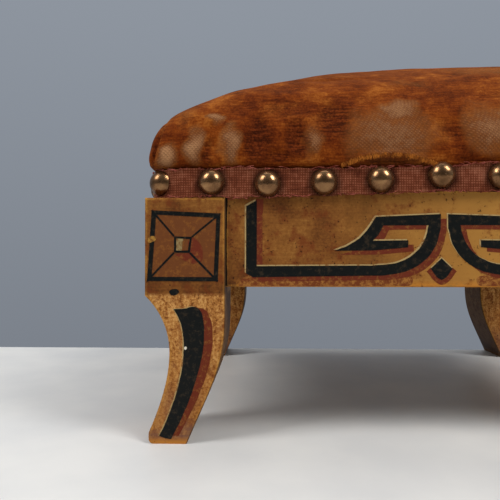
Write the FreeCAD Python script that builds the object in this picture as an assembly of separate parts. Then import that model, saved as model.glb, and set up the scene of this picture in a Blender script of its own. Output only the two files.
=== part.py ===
import FreeCAD, Part
import math
import os

# Low upholstered stool on four sabre legs. The wooden frame is mortised and tenoned, braced by screwed
# corner blocks, webbed and stuffed over, and the cover is held by a woven tape and dome-headed nails.
# Millimetres, +X right, +Y back, +Z up. The origin is on the floor under the middle of the seat.

# Frame: plan over the leg blocks, and heights above the floor
frame_width = 270.0
frame_depth = 252.0
block_side = 36.5
block_bottom = 66.5
block_top = 111.0
rail_bottom = 70.5
rail_thickness = 20.0
edge_round = 0.8

# Sabre leg below its block, measured inwards from the block's outer face
ankle_hollow = 11.2
ankle_height = 41.0
toe_inset = 2.0
toe_height = 5.0
toe_round = 2.2
foot_length = 17.2
instep_height = 57.0
foot_rake = 0.43
outer_pull = 12.0
inner_pull_top = 22.0
inner_pull_foot = 26.0

# Mortise and tenon joints
mortise_wall = 2.1
tenon_thickness = 8.0
tenon_height = 30.0
tenon_foot_gap = 5.5
tenon_clearance = 0.1
mortise_spare = 0.6

# Corner blocks and their screws
brace_reach = 30.0
brace_height = 26.0
brace_foot_gap = 7.5
screw_shank_radius = 1.75
screw_head_radius = 3.4
screw_head_height = 2.2
screw_slot_width = 0.9
screw_bite = 13.0
screw_neck = 7.0
screw_tip = 3.0
screw_clearance = 0.1

# Webbing, hessian and their tacks
web_width = 38.0
web_thickness = 1.0
web_count = 3
web_leg_gap = 10.0
web_end_inset = 8.0
web_ramp = 6.0
web_side_clearance = 0.6
web_tack_spread = 12.0
web_tack_edge = 1.8
hessian_thickness = 0.8
hessian_edge_inset = 5.0
hessian_tack_pitch = 50.8
hessian_tack_gap = 1.8
tack_head_radius = 2.6
tack_head_height = 0.8
tack_shank_radius = 0.7
web_tack_length = 8.5
hessian_tack_length = 6.5
tack_clearance = 0.05

# Cover layers, counted inwards from the tape
tape_setback = 1.0
tape_thickness = 1.2
tape_width = 14.2
tape_corner_radius = 18.0
tape_clearance = 0.2
tape_foot_gap = 0.2
tape_lap = 0.4
tape_rise = 2.2
tape_rise_centre = 12.0
tape_rise_reach = 84.0
tape_edge_points = 13
velvet_thickness = 1.0
calico_thickness = 0.6
wadding_thickness = 4.0
shoulder_rise = 2.6
skirt_gap = 0.2

# Cushion: a straight skirt, a bulge over the tape and a crown that leans to the right
seat_height = 202.0
crown_lean = 23.0
skirt_reach = 1.4
bulge_reach = 4.0
bulge = 1.8
dome_corner_radius = 14.0
dome_height_power = 2.1
dome_width_power = 1.6
dome_round_share = 0.95
dome_round_power = 0.7
dome_section_angles = (14.0, 27.0, 40.0, 52.0, 63.0, 72.0, 80.0, 86.0)

# Dome-headed nails
nail_pitch = 25.4
nail_head_radius = 6.1
nail_head_height = 5.2
nail_wall = 0.7
nail_shank_radius = 0.9
nail_shank_length = 10.0
nail_tip = 2.5
nail_clearance = 0.05
nail_row_drift = 3.0
nail_scatter = 0.7
nail_scatter_step = 2.3
# How far each nail of the front strays along its row and upwards, from the left; the order repeats
front_nail_strays = [(-0.7, -0.3), (-0.2, -1.2), (0.1, -0.8), (0.1, -0.8), (1.5, 0.3), (2.1, -0.1)]

# Insets from the outer face of the leg blocks, and heights that several pieces share
half_x = frame_width / 2
half_y = frame_depth / 2
tape_inner = tape_setback + tape_thickness
velvet_inner = tape_inner + velvet_thickness
wood_inset = velvet_inner + calico_thickness
rail_setback = tape_inner + tape_clearance
rail_inner = rail_setback + rail_thickness
tape_bottom = block_top + tape_foot_gap
tape_top = tape_bottom + tape_width
tape_middle = tape_bottom + tape_width / 2
rail_top = tape_top - tape_lap
shoulder = block_top + shoulder_rise
skirt_bottom = shoulder + skirt_gap
skirt_top = tape_top + tape_rise + skirt_reach
bulge_height = skirt_top + bulge_reach
web_over = rail_top + web_thickness
hessian_bottom = web_over + web_thickness
hessian_top = hessian_bottom + hessian_thickness
tenon_low = rail_bottom + tenon_foot_gap
tenon_inset = rail_setback + (rail_thickness - tenon_thickness) / 2
tenon_length = block_side - tenon_inset - tenon_thickness - mortise_wall
hessian_tack_inset = tape_setback + nail_shank_length + tack_shank_radius + hessian_tack_gap
web_tack_inset = rail_inner - tack_head_radius - web_tack_edge
brace_low = rail_bottom + brace_foot_gap
brace_middle = brace_low + brace_height / 2

X_AXIS = FreeCAD.Vector(1, 0, 0)
Y_AXIS = FreeCAD.Vector(0, 1, 0)
Z_AXIS = FreeCAD.Vector(0, 0, 1)
ORIGIN = FreeCAD.Vector(0, 0, 0)
EPSILON = 1e-6
CORNERS = {"front_left": (-1, -1), "front_right": (1, -1), "rear_left": (-1, 1), "rear_right": (1, 1)}


def point(x, y, z):
    return FreeCAD.Vector(x, y, z)


def line(start, end):
    return Part.LineSegment(start, end).toShape()


def box(low, high):
    """Block between two opposite corners."""
    size = high - low
    return Part.makeBox(size.x, size.y, size.z, low)


def mirrored(shape, sign_x, sign_y):
    """Copy of a front left piece at another corner of the plan."""
    if sign_x > 0:
        shape = shape.mirror(ORIGIN, X_AXIS)
    if sign_y > 0:
        shape = shape.mirror(ORIGIN, Y_AXIS)
    return shape


def corner_radius(inset):
    """Plan corner of a layer at this inset, concentric with the corner of the tape."""
    return tape_corner_radius + tape_setback - inset


def plan_wire(reach_x, reach_y, radius, z, shift=0.0):
    """Rounded rectangle made of four lines and four quarter arcs, its middle shifted along X."""
    edges = []
    lean = radius * math.sqrt(0.5)
    flat_x = reach_x - radius
    flat_y = reach_y - radius
    turns = [(1, -1), (1, 1), (-1, 1), (-1, -1)]
    for index, (sign_x, sign_y) in enumerate(turns):
        centre = point(shift + sign_x * flat_x, sign_y * flat_y, z)
        along_x = centre + point(sign_x * radius, 0, 0)
        along_y = centre + point(0, sign_y * radius, 0)
        middle = centre + point(sign_x * lean, sign_y * lean, 0)
        start, end = (along_y, along_x) if index % 2 == 0 else (along_x, along_y)
        edges.append(Part.Arc(start, middle, end).toShape())
        next_x, next_y = turns[(index + 1) % 4]
        far = point(shift + next_x * reach_x, next_y * flat_y, z)
        if next_x != sign_x:
            far = point(shift + next_x * flat_x, next_y * reach_y, z)
        edges.append(line(end, far))
    return Part.Wire(edges)


def plan_prism(inset, low, high):
    """Upright solid that follows the plan of the stool at an inset."""
    wire = plan_wire(half_x - inset, half_y - inset, corner_radius(inset), low)
    return Part.Face(wire).extrude(Z_AXIS * (high - low))


def upright_arc(upright_end, far_end):
    """Arc in the XZ plane that is upright at one end and passes through the other."""
    reach = far_end.x - upright_end.x
    rise = far_end.z - upright_end.z
    radius = (reach * reach + rise * rise) / (2 * reach)
    centre = upright_end + X_AXIS * radius
    half_turn = math.atan2(rise, abs(radius) - abs(reach)) / 2
    middle = centre - X_AXIS * (radius * math.cos(half_turn)) + Z_AXIS * (abs(radius) * math.sin(half_turn))
    return Part.Arc(upright_end, middle, far_end).toShape()


def bezier(*poles):
    curve = Part.BezierCurve()
    curve.setPoles(list(poles))
    return curve.toShape()


def turned(profile):
    """Solid of revolution about Z from a closed list of edges in the XZ plane."""
    return Part.Face(Part.Wire(Part.__sortEdges__(profile))).revolve(ORIGIN, Z_AXIS, 360)


def aimed(shape, direction, place):
    """Copy of a piece built along Z, turned so that Z points along a direction, and moved to a place."""
    copy = shape.copy()
    turn = FreeCAD.Rotation(Z_AXIS, direction)
    copy.Placement = FreeCAD.Placement(place, turn)
    return copy


# Sabre legs

def leg_profile():
    """Closed face of the front left leg, in the plane of its front."""
    front = -half_y
    outer = -half_x
    inner = outer + block_side
    block_corner = point(outer, front, block_bottom)
    ankle = point(outer + ankle_hollow, front, ankle_height)
    toe = point(outer + toe_inset, front, toe_height)
    toe_edge = point(outer + toe_inset, front, toe_round)
    floor_toe = point(outer + toe_inset + toe_round, front, 0)
    lean = toe_round * (1 - math.sqrt(0.5))
    toe_middle = point(outer + toe_inset + lean, front, lean)
    floor_heel = point(outer + toe_inset + foot_length, front, 0)
    instep = point(inner, front, instep_height)
    top_inner = point(inner, front, block_top)
    top_outer = point(outer, front, block_top)
    toe_pull = toe + point(foot_rake, 0, 1) * outer_pull
    heel_pull = floor_heel + point(foot_rake, 0, 1) * inner_pull_foot
    edges = [
        line(top_outer, block_corner),
        upright_arc(ankle, block_corner),
        bezier(ankle, ankle - Z_AXIS * outer_pull, toe_pull, toe),
        line(toe, toe_edge),
        Part.Arc(toe_edge, toe_middle, floor_toe).toShape(),
        line(floor_toe, floor_heel),
        bezier(floor_heel, heel_pull, instep - Z_AXIS * inner_pull_top, instep),
        line(instep, top_inner),
        line(top_inner, top_outer),
    ]
    return Part.Face(Part.Wire(Part.__sortEdges__(edges)))


def eased_leg():
    """Leg blank with its long edges softened above the toe, from the floor to the top of the block."""
    blank = leg_profile().extrude(Y_AXIS * block_side)
    soft = []
    for edge in blank.Edges:
        ends = edge.Vertexes
        along = abs(ends[0].Y - ends[-1].Y) < EPSILON
        if along and max(end.Z for end in ends) > toe_height + EPSILON:
            soft.append(edge)
    return blank.makeFillet(edge_round, soft)


def front_left_leg():
    """Leg with the rebated stub that carries the cover above the block, and its two mortises."""
    stub_low = point(-half_x, -half_y, block_top)
    stub_high = point(-half_x + block_side, -half_y + block_side, rail_top)
    stub = box(stub_low, stub_high).common(plan_prism(wood_inset, block_top, rail_top))
    leg = eased_leg().fuse(stub)
    deep = tenon_length + mortise_spare
    inner_x = -half_x + block_side
    inner_y = -half_y + block_side
    near = tenon_inset - tenon_clearance
    far = tenon_inset + tenon_thickness + tenon_clearance
    low = tenon_low - tenon_clearance
    high = tenon_low + tenon_height + tenon_clearance
    for_front_rail = box(point(inner_x - deep, -half_y + near, low), point(inner_x, -half_y + far, high))
    for_side_rail = box(point(-half_x + near, inner_y - deep, low), point(-half_x + far, inner_y, high))
    return leg.cut(for_front_rail).cut(for_side_rail)


# Rails

def straight_rail(span, face):
    """Rail along X with its show face towards -Y at the given Y: a rebate above, a tenon at each end."""
    half = span / 2 - block_side
    body = box(point(-half, face, rail_bottom), point(half, face + rail_thickness, rail_top))
    bottom_edge = [
        edge for edge in body.Edges
        if all(abs(end.Y - face) < EPSILON and abs(end.Z - rail_bottom) < EPSILON for end in edge.Vertexes)
    ]
    body = body.makeFillet(edge_round, bottom_edge)
    rebate_depth = wood_inset - rail_setback
    body = body.cut(box(point(-half, face, shoulder), point(half, face + rebate_depth, rail_top)))
    tenon_face = face + tenon_inset - rail_setback
    low = point(-half - tenon_length, tenon_face, tenon_low)
    high = point(half + tenon_length, tenon_face + tenon_thickness, tenon_low + tenon_height)
    return body.fuse(box(low, high)).removeSplitter()


def rail(side):
    """Rail of one side of the frame, in its place."""
    if side in ("front", "rear"):
        made = straight_rail(frame_width, rail_setback - half_y)
        return made if side == "front" else made.mirror(ORIGIN, Y_AXIS)
    made = straight_rail(frame_depth, rail_setback - half_x)
    made.rotate(ORIGIN, Z_AXIS, -90)
    return made if side == "left" else made.mirror(ORIGIN, X_AXIS)


# Corner blocks and screws

def cap_point(radius, height, reach):
    """Point in the XZ plane, at a reach from the axis, on a round cap of this rim radius and height."""
    ball = (radius ** 2 + height ** 2) / (2 * height)
    return point(reach, 0, height - ball + math.sqrt(ball ** 2 - reach ** 2))


def cap_arc(radius, height, near):
    """Arc of a round cap from a near reach out to its rim."""
    middle = cap_point(radius, height, (near + radius) / 2)
    return Part.Arc(cap_point(radius, height, near), middle, point(radius, 0, 0)).toShape()


def headed_shank(head_radius, head_height, shank_radius, length, taper):
    """Domed head standing on Z = 0 with a pointed shank along -Z."""
    crown = point(0, 0, head_height)
    rim = point(head_radius, 0, 0)
    neck = point(shank_radius, 0, 0)
    waist = point(shank_radius, 0, taper - length)
    tip = point(0, 0, -length)
    outline = [line(rim, neck), line(neck, waist), line(waist, tip), line(tip, crown)]
    return turned([cap_arc(head_radius, head_height, 0)] + outline)


def wood_screw():
    """Round-headed slotted screw along -Z."""
    blank = headed_shank(screw_head_radius, screw_head_height, screw_shank_radius,
                         screw_neck + screw_bite, screw_tip)
    half_slot = screw_slot_width / 2
    slot = box(point(-screw_head_radius, -half_slot, screw_head_height / 2),
               point(screw_head_radius, half_slot, screw_head_height))
    return blank.cut(slot)


def screw_seats():
    """Place and direction of the two screw heads of the front left corner block."""
    along = block_side + brace_reach / 2
    seat = rail_inner + screw_neck
    towards_front = (point(-half_x + along, -half_y + seat, brace_middle), Y_AXIS)
    towards_side = (point(-half_x + seat, -half_y + along, brace_middle), X_AXIS)
    return [towards_front, towards_side]


def screw_bores():
    """Clearance bores of the front left block's screws, with room for the heads and a driver."""
    bores = []
    shank = screw_shank_radius + screw_clearance
    head = screw_head_radius + 4 * screw_clearance
    for place, out in screw_seats():
        start = place - out * (screw_neck + screw_bite + screw_clearance)
        bores.append(Part.makeCylinder(shank, screw_neck + screw_bite + 2 * screw_clearance, start, out))
        bores.append(Part.makeCylinder(head, brace_reach + block_side, place, out))
    return Part.makeCompound(bores)


def front_left_brace():
    """Notched triangular block that fits round the inner corner of the leg, against both rails."""
    near = rail_inner
    leg_in = block_side
    far = leg_in + brace_reach
    plan = [(leg_in, near), (far, near), (near, far), (near, leg_in), (leg_in, leg_in), (leg_in, near)]
    corners = [point(-half_x + u, -half_y + v, brace_low) for u, v in plan]
    block = Part.Face(Part.makePolygon(corners)).extrude(Z_AXIS * brace_height)
    return block.cut(screw_bores())


def brace_screws():
    screw = wood_screw()
    first = [aimed(screw, out, place) for place, out in screw_seats()]
    return [mirrored(one, *signs) for signs in CORNERS.values() for one in first]


# Dome-headed nails and tacks

def dome_nail():
    """Hollow domed head standing on Z = 0, with a pointed shank along -Z."""
    inner_radius = nail_head_radius - nail_wall
    inner_height = nail_head_height - nail_wall
    crown = point(0, 0, nail_head_height)
    rim = point(nail_head_radius, 0, 0)
    lip = point(inner_radius, 0, 0)
    neck = cap_point(inner_radius, inner_height, nail_shank_radius)
    waist = point(nail_shank_radius, 0, nail_tip - nail_shank_length)
    tip = point(0, 0, -nail_shank_length)
    return turned([
        cap_arc(nail_head_radius, nail_head_height, 0), line(rim, lip),
        cap_arc(inner_radius, inner_height, nail_shank_radius),
        line(neck, waist), line(waist, tip), line(tip, crown),
    ])


def even_places(length, pitch):
    """Places from end to end of a centred length, as near to a pitch as whole gaps allow."""
    gaps = max(2, round(length / pitch))
    return [length * (index / gaps - 0.5) for index in range(gaps + 1)]


def tape_lift(x):
    """How far the tape and nails of the front climb above their level at the corners."""
    share = (x - tape_rise_centre) / tape_rise_reach
    return tape_rise * max(0.0, 1 - share * share) ** 2


def row_places(length, drift):
    """Even nail places between two corner nails, the row's middle shifted by the drift."""
    places = even_places(length, nail_pitch)[1:-1]
    return [s - drift * (1 - (2 * s / length) ** 2) for s in places]


def nail_seats():
    """Seat and outward direction of every dome nail, listed by row."""
    face_x = half_x - tape_setback
    face_y = half_y - tape_setback
    lean = tape_corner_radius * (1 - math.sqrt(0.5))
    corner_x = face_x - lean
    corner_y = face_y - lean
    rows = {"front": [], "rear": [], "left": [], "right": [], "corner": []}
    for index, x in enumerate(row_places(2 * corner_x, nail_row_drift)):
        stray_x, stray_z = front_nail_strays[index % len(front_nail_strays)]
        front_z = tape_middle + tape_lift(x + stray_x) + stray_z
        rows["front"].append((point(x + stray_x, -face_y, front_z), -Y_AXIS))
        scatter = nail_scatter * math.sin(nail_scatter_step * index + 1)
        rows["rear"].append((point(-x, face_y, tape_middle + scatter), Y_AXIS))
    for index, y in enumerate(row_places(2 * corner_y, 0)):
        scatter = nail_scatter * math.sin(nail_scatter_step * index)
        rows["left"].append((point(-face_x, y, tape_middle + scatter), -X_AXIS))
        rows["right"].append((point(face_x, -y, tape_middle + scatter), X_AXIS))
    for sign_x, sign_y in CORNERS.values():
        out = point(sign_x, sign_y, 0).normalize()
        rows["corner"].append((point(sign_x * corner_x, sign_y * corner_y, tape_middle), out))
    return rows


def nail_bores(rows):
    """Holes for every nail shank, through the tape and cover into the wood."""
    radius = nail_shank_radius + nail_clearance
    reach = nail_shank_length + nail_clearance
    seats = [seat for row in rows.values() for seat in row]
    return Part.makeCompound([Part.makeCylinder(radius, reach, place, -out) for place, out in seats])


def tack(length):
    """Tack with a low domed head and a tapered shank."""
    return headed_shank(tack_head_radius, tack_head_height, tack_shank_radius, length, length / 2)


def tack_room(seats, length):
    """Bores and head pockets for tacks driven straight down at these seats."""
    rooms = []
    shank = tack_shank_radius + tack_clearance
    head = tack_head_radius + tack_clearance
    for seat in seats:
        rooms.append(Part.makeCylinder(shank, length + tack_clearance, seat, -Z_AXIS))
        rooms.append(Part.makeCylinder(head, tack_head_height + tack_clearance, seat))
    return Part.makeCompound(rooms)


# Webbing and hessian

def strip_places(length):
    """Middles of the strips that lie side by side between two legs this far apart over their blocks."""
    reach = length / 2 - block_side - web_leg_gap - web_width / 2
    return [reach * (2 * index / (web_count - 1) - 1) for index in range(web_count)]


def web_strip(length, crossings, offset):
    """Strip along X at a Y offset, lying on the rails and climbing over the strips it crosses on top."""
    half = length / 2
    reach = web_width / 2 + web_side_clearance
    under = [(-half, rail_top)]
    for centre in crossings:
        under.append((centre - reach - web_ramp, rail_top))
        under.append((centre - reach, web_over))
        under.append((centre + reach, web_over))
        under.append((centre + reach + web_ramp, rail_top))
    under.append((half, rail_top))
    outline = under + [(x, z + web_thickness) for x, z in reversed(under)]
    side = offset - web_width / 2
    corners = [point(x, side, z) for x, z in outline + outline[:1]]
    return Part.Face(Part.makePolygon(corners)).extrude(Y_AXIS * web_width)


def web_strips():
    """Interlaced strips by name: along the width, then along the depth."""
    across = strip_places(frame_width)
    along = strip_places(frame_depth)
    strips = {}
    for row, y in enumerate(along):
        over = [x for column, x in enumerate(across) if (row + column) % 2 == 0]
        strips["webbing_long_%d" % (row + 1)] = web_strip(frame_width - 2 * web_end_inset, over, y)
    for column, x in enumerate(across):
        over = [-y for row, y in enumerate(along) if (row + column) % 2 == 1]
        strip = web_strip(frame_depth - 2 * web_end_inset, sorted(over), x)
        strip.rotate(ORIGIN, Z_AXIS, -90)
        strips["webbing_short_%d" % (column + 1)] = strip
    return strips


def web_tack_seats():
    """Three tacks across each end of each strip, standing on the webbing."""
    spread = (-web_tack_spread, 0, web_tack_spread)
    end_x = half_x - web_tack_inset
    end_y = half_y - web_tack_inset
    seats = [point(sign * end_x, y + d, web_over)
             for y in strip_places(frame_depth) for sign in (-1, 1) for d in spread]
    seats += [point(x + d, sign * end_y, web_over)
              for x in strip_places(frame_width) for sign in (-1, 1) for d in spread]
    return seats


def hessian_tack_seats():
    """Tacks round the hessian, inside the dome nails' points and from leg to leg."""
    reach_x = half_x - hessian_tack_inset
    reach_y = half_y - hessian_tack_inset
    xs = even_places(frame_width - block_side, hessian_tack_pitch)
    ys = even_places(frame_depth - block_side, hessian_tack_pitch)
    seats = [point(x, sign * reach_y, hessian_top) for sign in (-1, 1) for x in xs]
    return seats + [point(sign * reach_x, y, hessian_top) for sign in (-1, 1) for y in ys]


# Cushion layers

def cushion_section(width_share, depth_in, z):
    """Rounded rectangle of the crown at a share of its full width."""
    reach_x = (half_x - tape_inner + bulge - depth_in) * width_share
    reach_y = (half_y - tape_inner + bulge - depth_in) * width_share
    least = min(reach_x, reach_y)
    base_share = (dome_corner_radius - depth_in) / min(half_x, half_y)
    round_share = base_share + (dome_round_share - base_share) * (1 - width_share) ** dome_round_power
    shift = crown_lean * ((z - bulge_height) / (seat_height - bulge_height)) ** 2
    return plan_wire(reach_x, reach_y, least * round_share, z, shift)


def cushion_solid(depth_in, low):
    """Filled shape of the cushion at a depth inside the velvet, from a low level to the crown."""
    skirt_inset = tape_inner + depth_in
    skirt = plan_prism(skirt_inset, low, skirt_top)
    crown = seat_height - bulge_height - depth_in
    wires = [
        plan_wire(half_x - skirt_inset, half_y - skirt_inset, corner_radius(skirt_inset), skirt_top),
        cushion_section(1.0, depth_in, bulge_height),
    ]
    for angle in dome_section_angles:
        turn = math.radians(angle)
        height_share = math.sin(turn) ** (2 / dome_height_power)
        width_share = (1 - height_share ** dome_height_power) ** (1 / dome_width_power)
        wires.append(cushion_section(width_share, depth_in, bulge_height + crown * height_share))
    return skirt.fuse(Part.makeLoft(wires, True, False))


def tape():
    """Woven tape round the skirt: level at the corners, climbing a little along the front."""
    low = tape_bottom
    high = tape_top
    ring = plan_prism(tape_setback, low, high).cut(plan_prism(tape_inner, low, high))
    reach = half_x - tape_setback - tape_corner_radius
    face = tape_setback - half_y
    ring = ring.cut(box(point(-reach, face, low), point(reach, face + tape_thickness, high)))
    xs = [reach * (2 * index / (tape_edge_points - 1) - 1) for index in range(tape_edge_points)]
    edges = []
    for level in (low, high):
        curve = Part.BSplineCurve()
        curve.interpolate([point(x, face, level + tape_lift(x)) for x in xs])
        edges.append(curve.toShape())
    for x in (-reach, reach):
        edges.append(line(point(x, face, low + tape_lift(x)), point(x, face, high + tape_lift(x))))
    front = Part.Face(Part.Wire(Part.__sortEdges__(edges))).extrude(Y_AXIS * tape_thickness)
    return ring.fuse(front)


def write(name, shapes):
    """Writes one node: a single solid, or a group of separate solids."""
    solids = [solid for shape in shapes for solid in shape.Solids]
    made = solids[0] if len(solids) == 1 else Part.makeCompound(solids)
    if not made.isValid():
        raise ValueError("invalid shape in " + name)
    made.exportStep("parts/%s.step" % name)
    print("%-24s solids %2d  volume %10.1f" % (name, len(solids), made.Volume))


def main():
    os.makedirs("parts", exist_ok=True)
    rows = nail_seats()
    bores = nail_bores(rows)
    strips = web_strips()
    web_seats = web_tack_seats()
    hessian_seats = hessian_tack_seats()
    web_room = tack_room(web_seats, web_tack_length)
    hessian_room = tack_room(hessian_seats, hessian_tack_length)
    braces = screw_bores()

    leg = front_left_leg()
    brace = front_left_brace()
    for corner, signs in CORNERS.items():
        write("leg_" + corner, [mirrored(leg, *signs).cut(bores).cut(web_room).cut(hessian_room)])
        write("corner_block_" + corner, [mirrored(brace, *signs)])
    screw_room = Part.makeCompound([mirrored(braces, *signs) for signs in CORNERS.values()])
    for side in ("front", "rear", "left", "right"):
        made = rail(side).cut(bores).cut(screw_room).cut(web_room).cut(hessian_room)
        write("rail_" + side, [made])
    write("corner_block_screws", brace_screws())

    for name, strip in strips.items():
        write(name, [strip.cut(web_room).cut(hessian_room)])
    write("webbing_tacks", [aimed(tack(web_tack_length), Z_AXIS, seat) for seat in web_seats])
    hessian = plan_prism(hessian_edge_inset, hessian_bottom, hessian_top)
    write("hessian", [hessian.cut(hessian_room)])
    write("hessian_tacks", [aimed(tack(hessian_tack_length), Z_AXIS, seat) for seat in hessian_seats])

    velvet_in = velvet_thickness
    calico_in = velvet_in + calico_thickness
    wadding_in = calico_in + wadding_thickness
    below = skirt_bottom - skirt_gap
    velvet = cushion_solid(0, skirt_bottom).cut(cushion_solid(velvet_in, below))
    calico = cushion_solid(velvet_in, skirt_bottom).cut(cushion_solid(calico_in, below))
    wadding = cushion_solid(calico_in, hessian_top).cut(cushion_solid(wadding_in, hessian_top))
    stuffing = cushion_solid(wadding_in, hessian_top)
    write("velvet_cover", [velvet.cut(bores)])
    write("calico_lining", [calico.cut(bores)])
    write("cotton_wadding", [wadding.cut(hessian_room)])
    write("horsehair_stuffing", [stuffing.cut(hessian_room)])
    write("woven_tape", [tape().cut(bores)])
    nail = dome_nail()
    for row, seats in rows.items():
        write("dome_nails_" + row, [aimed(nail, out, place) for place, out in seats])


main()
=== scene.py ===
import math
import random

import bpy
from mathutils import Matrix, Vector, noise


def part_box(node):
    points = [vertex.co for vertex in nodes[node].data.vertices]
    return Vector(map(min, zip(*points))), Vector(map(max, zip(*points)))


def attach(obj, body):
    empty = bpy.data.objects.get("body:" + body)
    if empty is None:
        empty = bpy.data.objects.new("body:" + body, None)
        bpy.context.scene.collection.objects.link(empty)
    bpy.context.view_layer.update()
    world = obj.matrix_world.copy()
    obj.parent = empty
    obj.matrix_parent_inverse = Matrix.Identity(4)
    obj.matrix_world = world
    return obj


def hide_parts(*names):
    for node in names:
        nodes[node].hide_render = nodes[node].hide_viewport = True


# A low upholstered stool: worn rust velvet, woven tape, brass dome nails and a gilt, painted frame.
# Metres, +X right, +Y back, +Z up. Sizes that a maker would give in millimetres are written times MM.

MM = 0.001
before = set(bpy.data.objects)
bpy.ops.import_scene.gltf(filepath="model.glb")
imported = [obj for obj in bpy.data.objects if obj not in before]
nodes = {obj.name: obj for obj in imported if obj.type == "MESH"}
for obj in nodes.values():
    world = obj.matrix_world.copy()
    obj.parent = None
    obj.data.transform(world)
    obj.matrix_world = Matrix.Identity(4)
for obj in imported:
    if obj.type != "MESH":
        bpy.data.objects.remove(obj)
noise.seed_set(3)  # vector noise starts from the clock when it has no seed
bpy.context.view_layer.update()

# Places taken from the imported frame
leg_low, leg_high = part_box("leg_front_left")
rail_low, rail_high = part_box("rail_front")
side_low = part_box("rail_left")[0]
tape_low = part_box("woven_tape")[0]
cover_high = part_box("velvet_cover")[1]
hessian_low, hessian_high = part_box("hessian")
half_x = -leg_low.x
half_y = -leg_low.y
block_side = leg_high.x - leg_low.x
floor_z = leg_low.z

# Camera at the photograph's viewpoint
CAMERA_PLACE = (-0.0794, -0.3687, 0.0844)
CAMERA_TURN = (90.67, 0.0, 1.86)
CAMERA_LENS = 38.88
CAMERA_SENSOR = 36.0


# Small tools

def linear(hex_colour):
    """Linear colour of an sRGB hex value."""
    parts = [int(hex_colour[i:i + 2], 16) / 255 for i in (1, 3, 5)]
    parts = [c / 12.92 if c <= 0.04045 else ((c + 0.055) / 1.055) ** 2.4 for c in parts]
    return (*parts, 1.0)


def connect(tree, node, inputs):
    """Sets or links a node's inputs. Colours are hex values; a node stands for its first output in use."""
    for name, value in inputs.items():
        if isinstance(value, bpy.types.Node):
            value = next(output for output in value.outputs if output.enabled)
        if isinstance(value, bpy.types.NodeSocket):
            tree.links.new(value, node.inputs[name])
        else:
            node.inputs[name].default_value = linear(value) if isinstance(value, str) else value


def add(tree, kind, inputs=None, stops=None, **settings):
    """Adds a node with its settings and inputs, and fills a ramp with its stops."""
    node = tree.nodes.new("ShaderNode" + kind)
    for name, value in settings.items():
        setattr(node, name, value)
    connect(tree, node, inputs or {})
    if stops:
        ramp = node.color_ramp
        while len(ramp.elements) < len(stops):
            ramp.elements.new(0.5)
        for element, (place, colour) in zip(ramp.elements, stops):
            element.position = place
            element.color = linear(colour) if isinstance(colour, str) else (colour, colour, colour, 1.0)
    return node


# Sockets of the Mix node: its factor, and its pairs for numbers and for colours
FACTOR, NUMBER_A, NUMBER_B, COLOUR_A, COLOUR_B = 0, 2, 3, 6, 7


def start_material(name):
    """Empty material with its shader, output and object coordinates in millimetres."""
    material = bpy.data.materials.new(name)
    material.use_nodes = True
    tree = material.node_tree
    tree.nodes.clear()
    shader = add(tree, "BsdfPrincipled")
    add(tree, "OutputMaterial", {"Surface": shader})
    coords = add(tree, "TexCoord")
    place = add(tree, "Mapping", {"Vector": coords.outputs["Object"], "Scale": (1000, 1000, 1000)})
    return material, tree, shader, place.outputs["Vector"]


def make_active(piece):
    """Selects one piece alone, for the operators that follow."""
    bpy.ops.object.select_all(action="DESELECT")
    piece.select_set(True)
    bpy.context.view_layer.objects.active = piece


def apply_modifiers(piece):
    """Makes the modifiers of a piece part of its mesh."""
    make_active(piece)
    for modifier in list(piece.modifiers):
        bpy.ops.object.modifier_apply(modifier=modifier.name)


def new_grid(columns, rows, size):
    """Flat square grid, the blank of every cloth."""
    bpy.ops.object.select_all(action="DESELECT")
    bpy.ops.mesh.primitive_grid_add(x_subdivisions=columns, y_subdivisions=rows, size=size)
    return bpy.context.view_layer.objects.active


def as_mesh(name, curve):
    """Piece made from a curve."""
    piece = bpy.data.objects.new(name, curve)
    bpy.context.scene.collection.objects.link(piece)
    make_active(piece)
    bpy.ops.object.convert(target="MESH")
    return bpy.context.view_layer.objects.active


def merge_points(piece, gap):
    """Joins the points that lie on each other, and leaves the piece in edit mode with all of it selected."""
    make_active(piece)
    bpy.ops.object.mode_set(mode="EDIT")
    bpy.ops.mesh.select_all(action="SELECT")
    bpy.ops.mesh.remove_doubles(threshold=gap)


def thicken(piece, thickness, offset):
    """Gives a cloth its thickness: behind its surface at -1, on both sides of it at 0."""
    wall = piece.modifiers.new("Thickness", "SOLIDIFY")
    wall.thickness = thickness
    wall.offset = offset
    apply_modifiers(piece)


def settle(piece, name, material, smooth_angle):
    """Names a finished piece, gives it its finish and lets it ride on the stool."""
    piece.name = name
    piece.data.name = name
    piece.data.materials.clear()
    piece.data.materials.append(material)
    make_active(piece)
    bpy.ops.object.transform_apply(location=True, rotation=True, scale=True)
    bpy.ops.object.shade_smooth_by_angle(angle=math.radians(smooth_angle))
    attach(piece, "root")


def finish_node(name, material):
    """Gives a CAD node a better material and leaves its shape alone."""
    if not nodes[name].material_slots:
        nodes[name].data.materials.append(material)
    for place in nodes[name].material_slots:
        place.material = material


# Finishes

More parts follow.
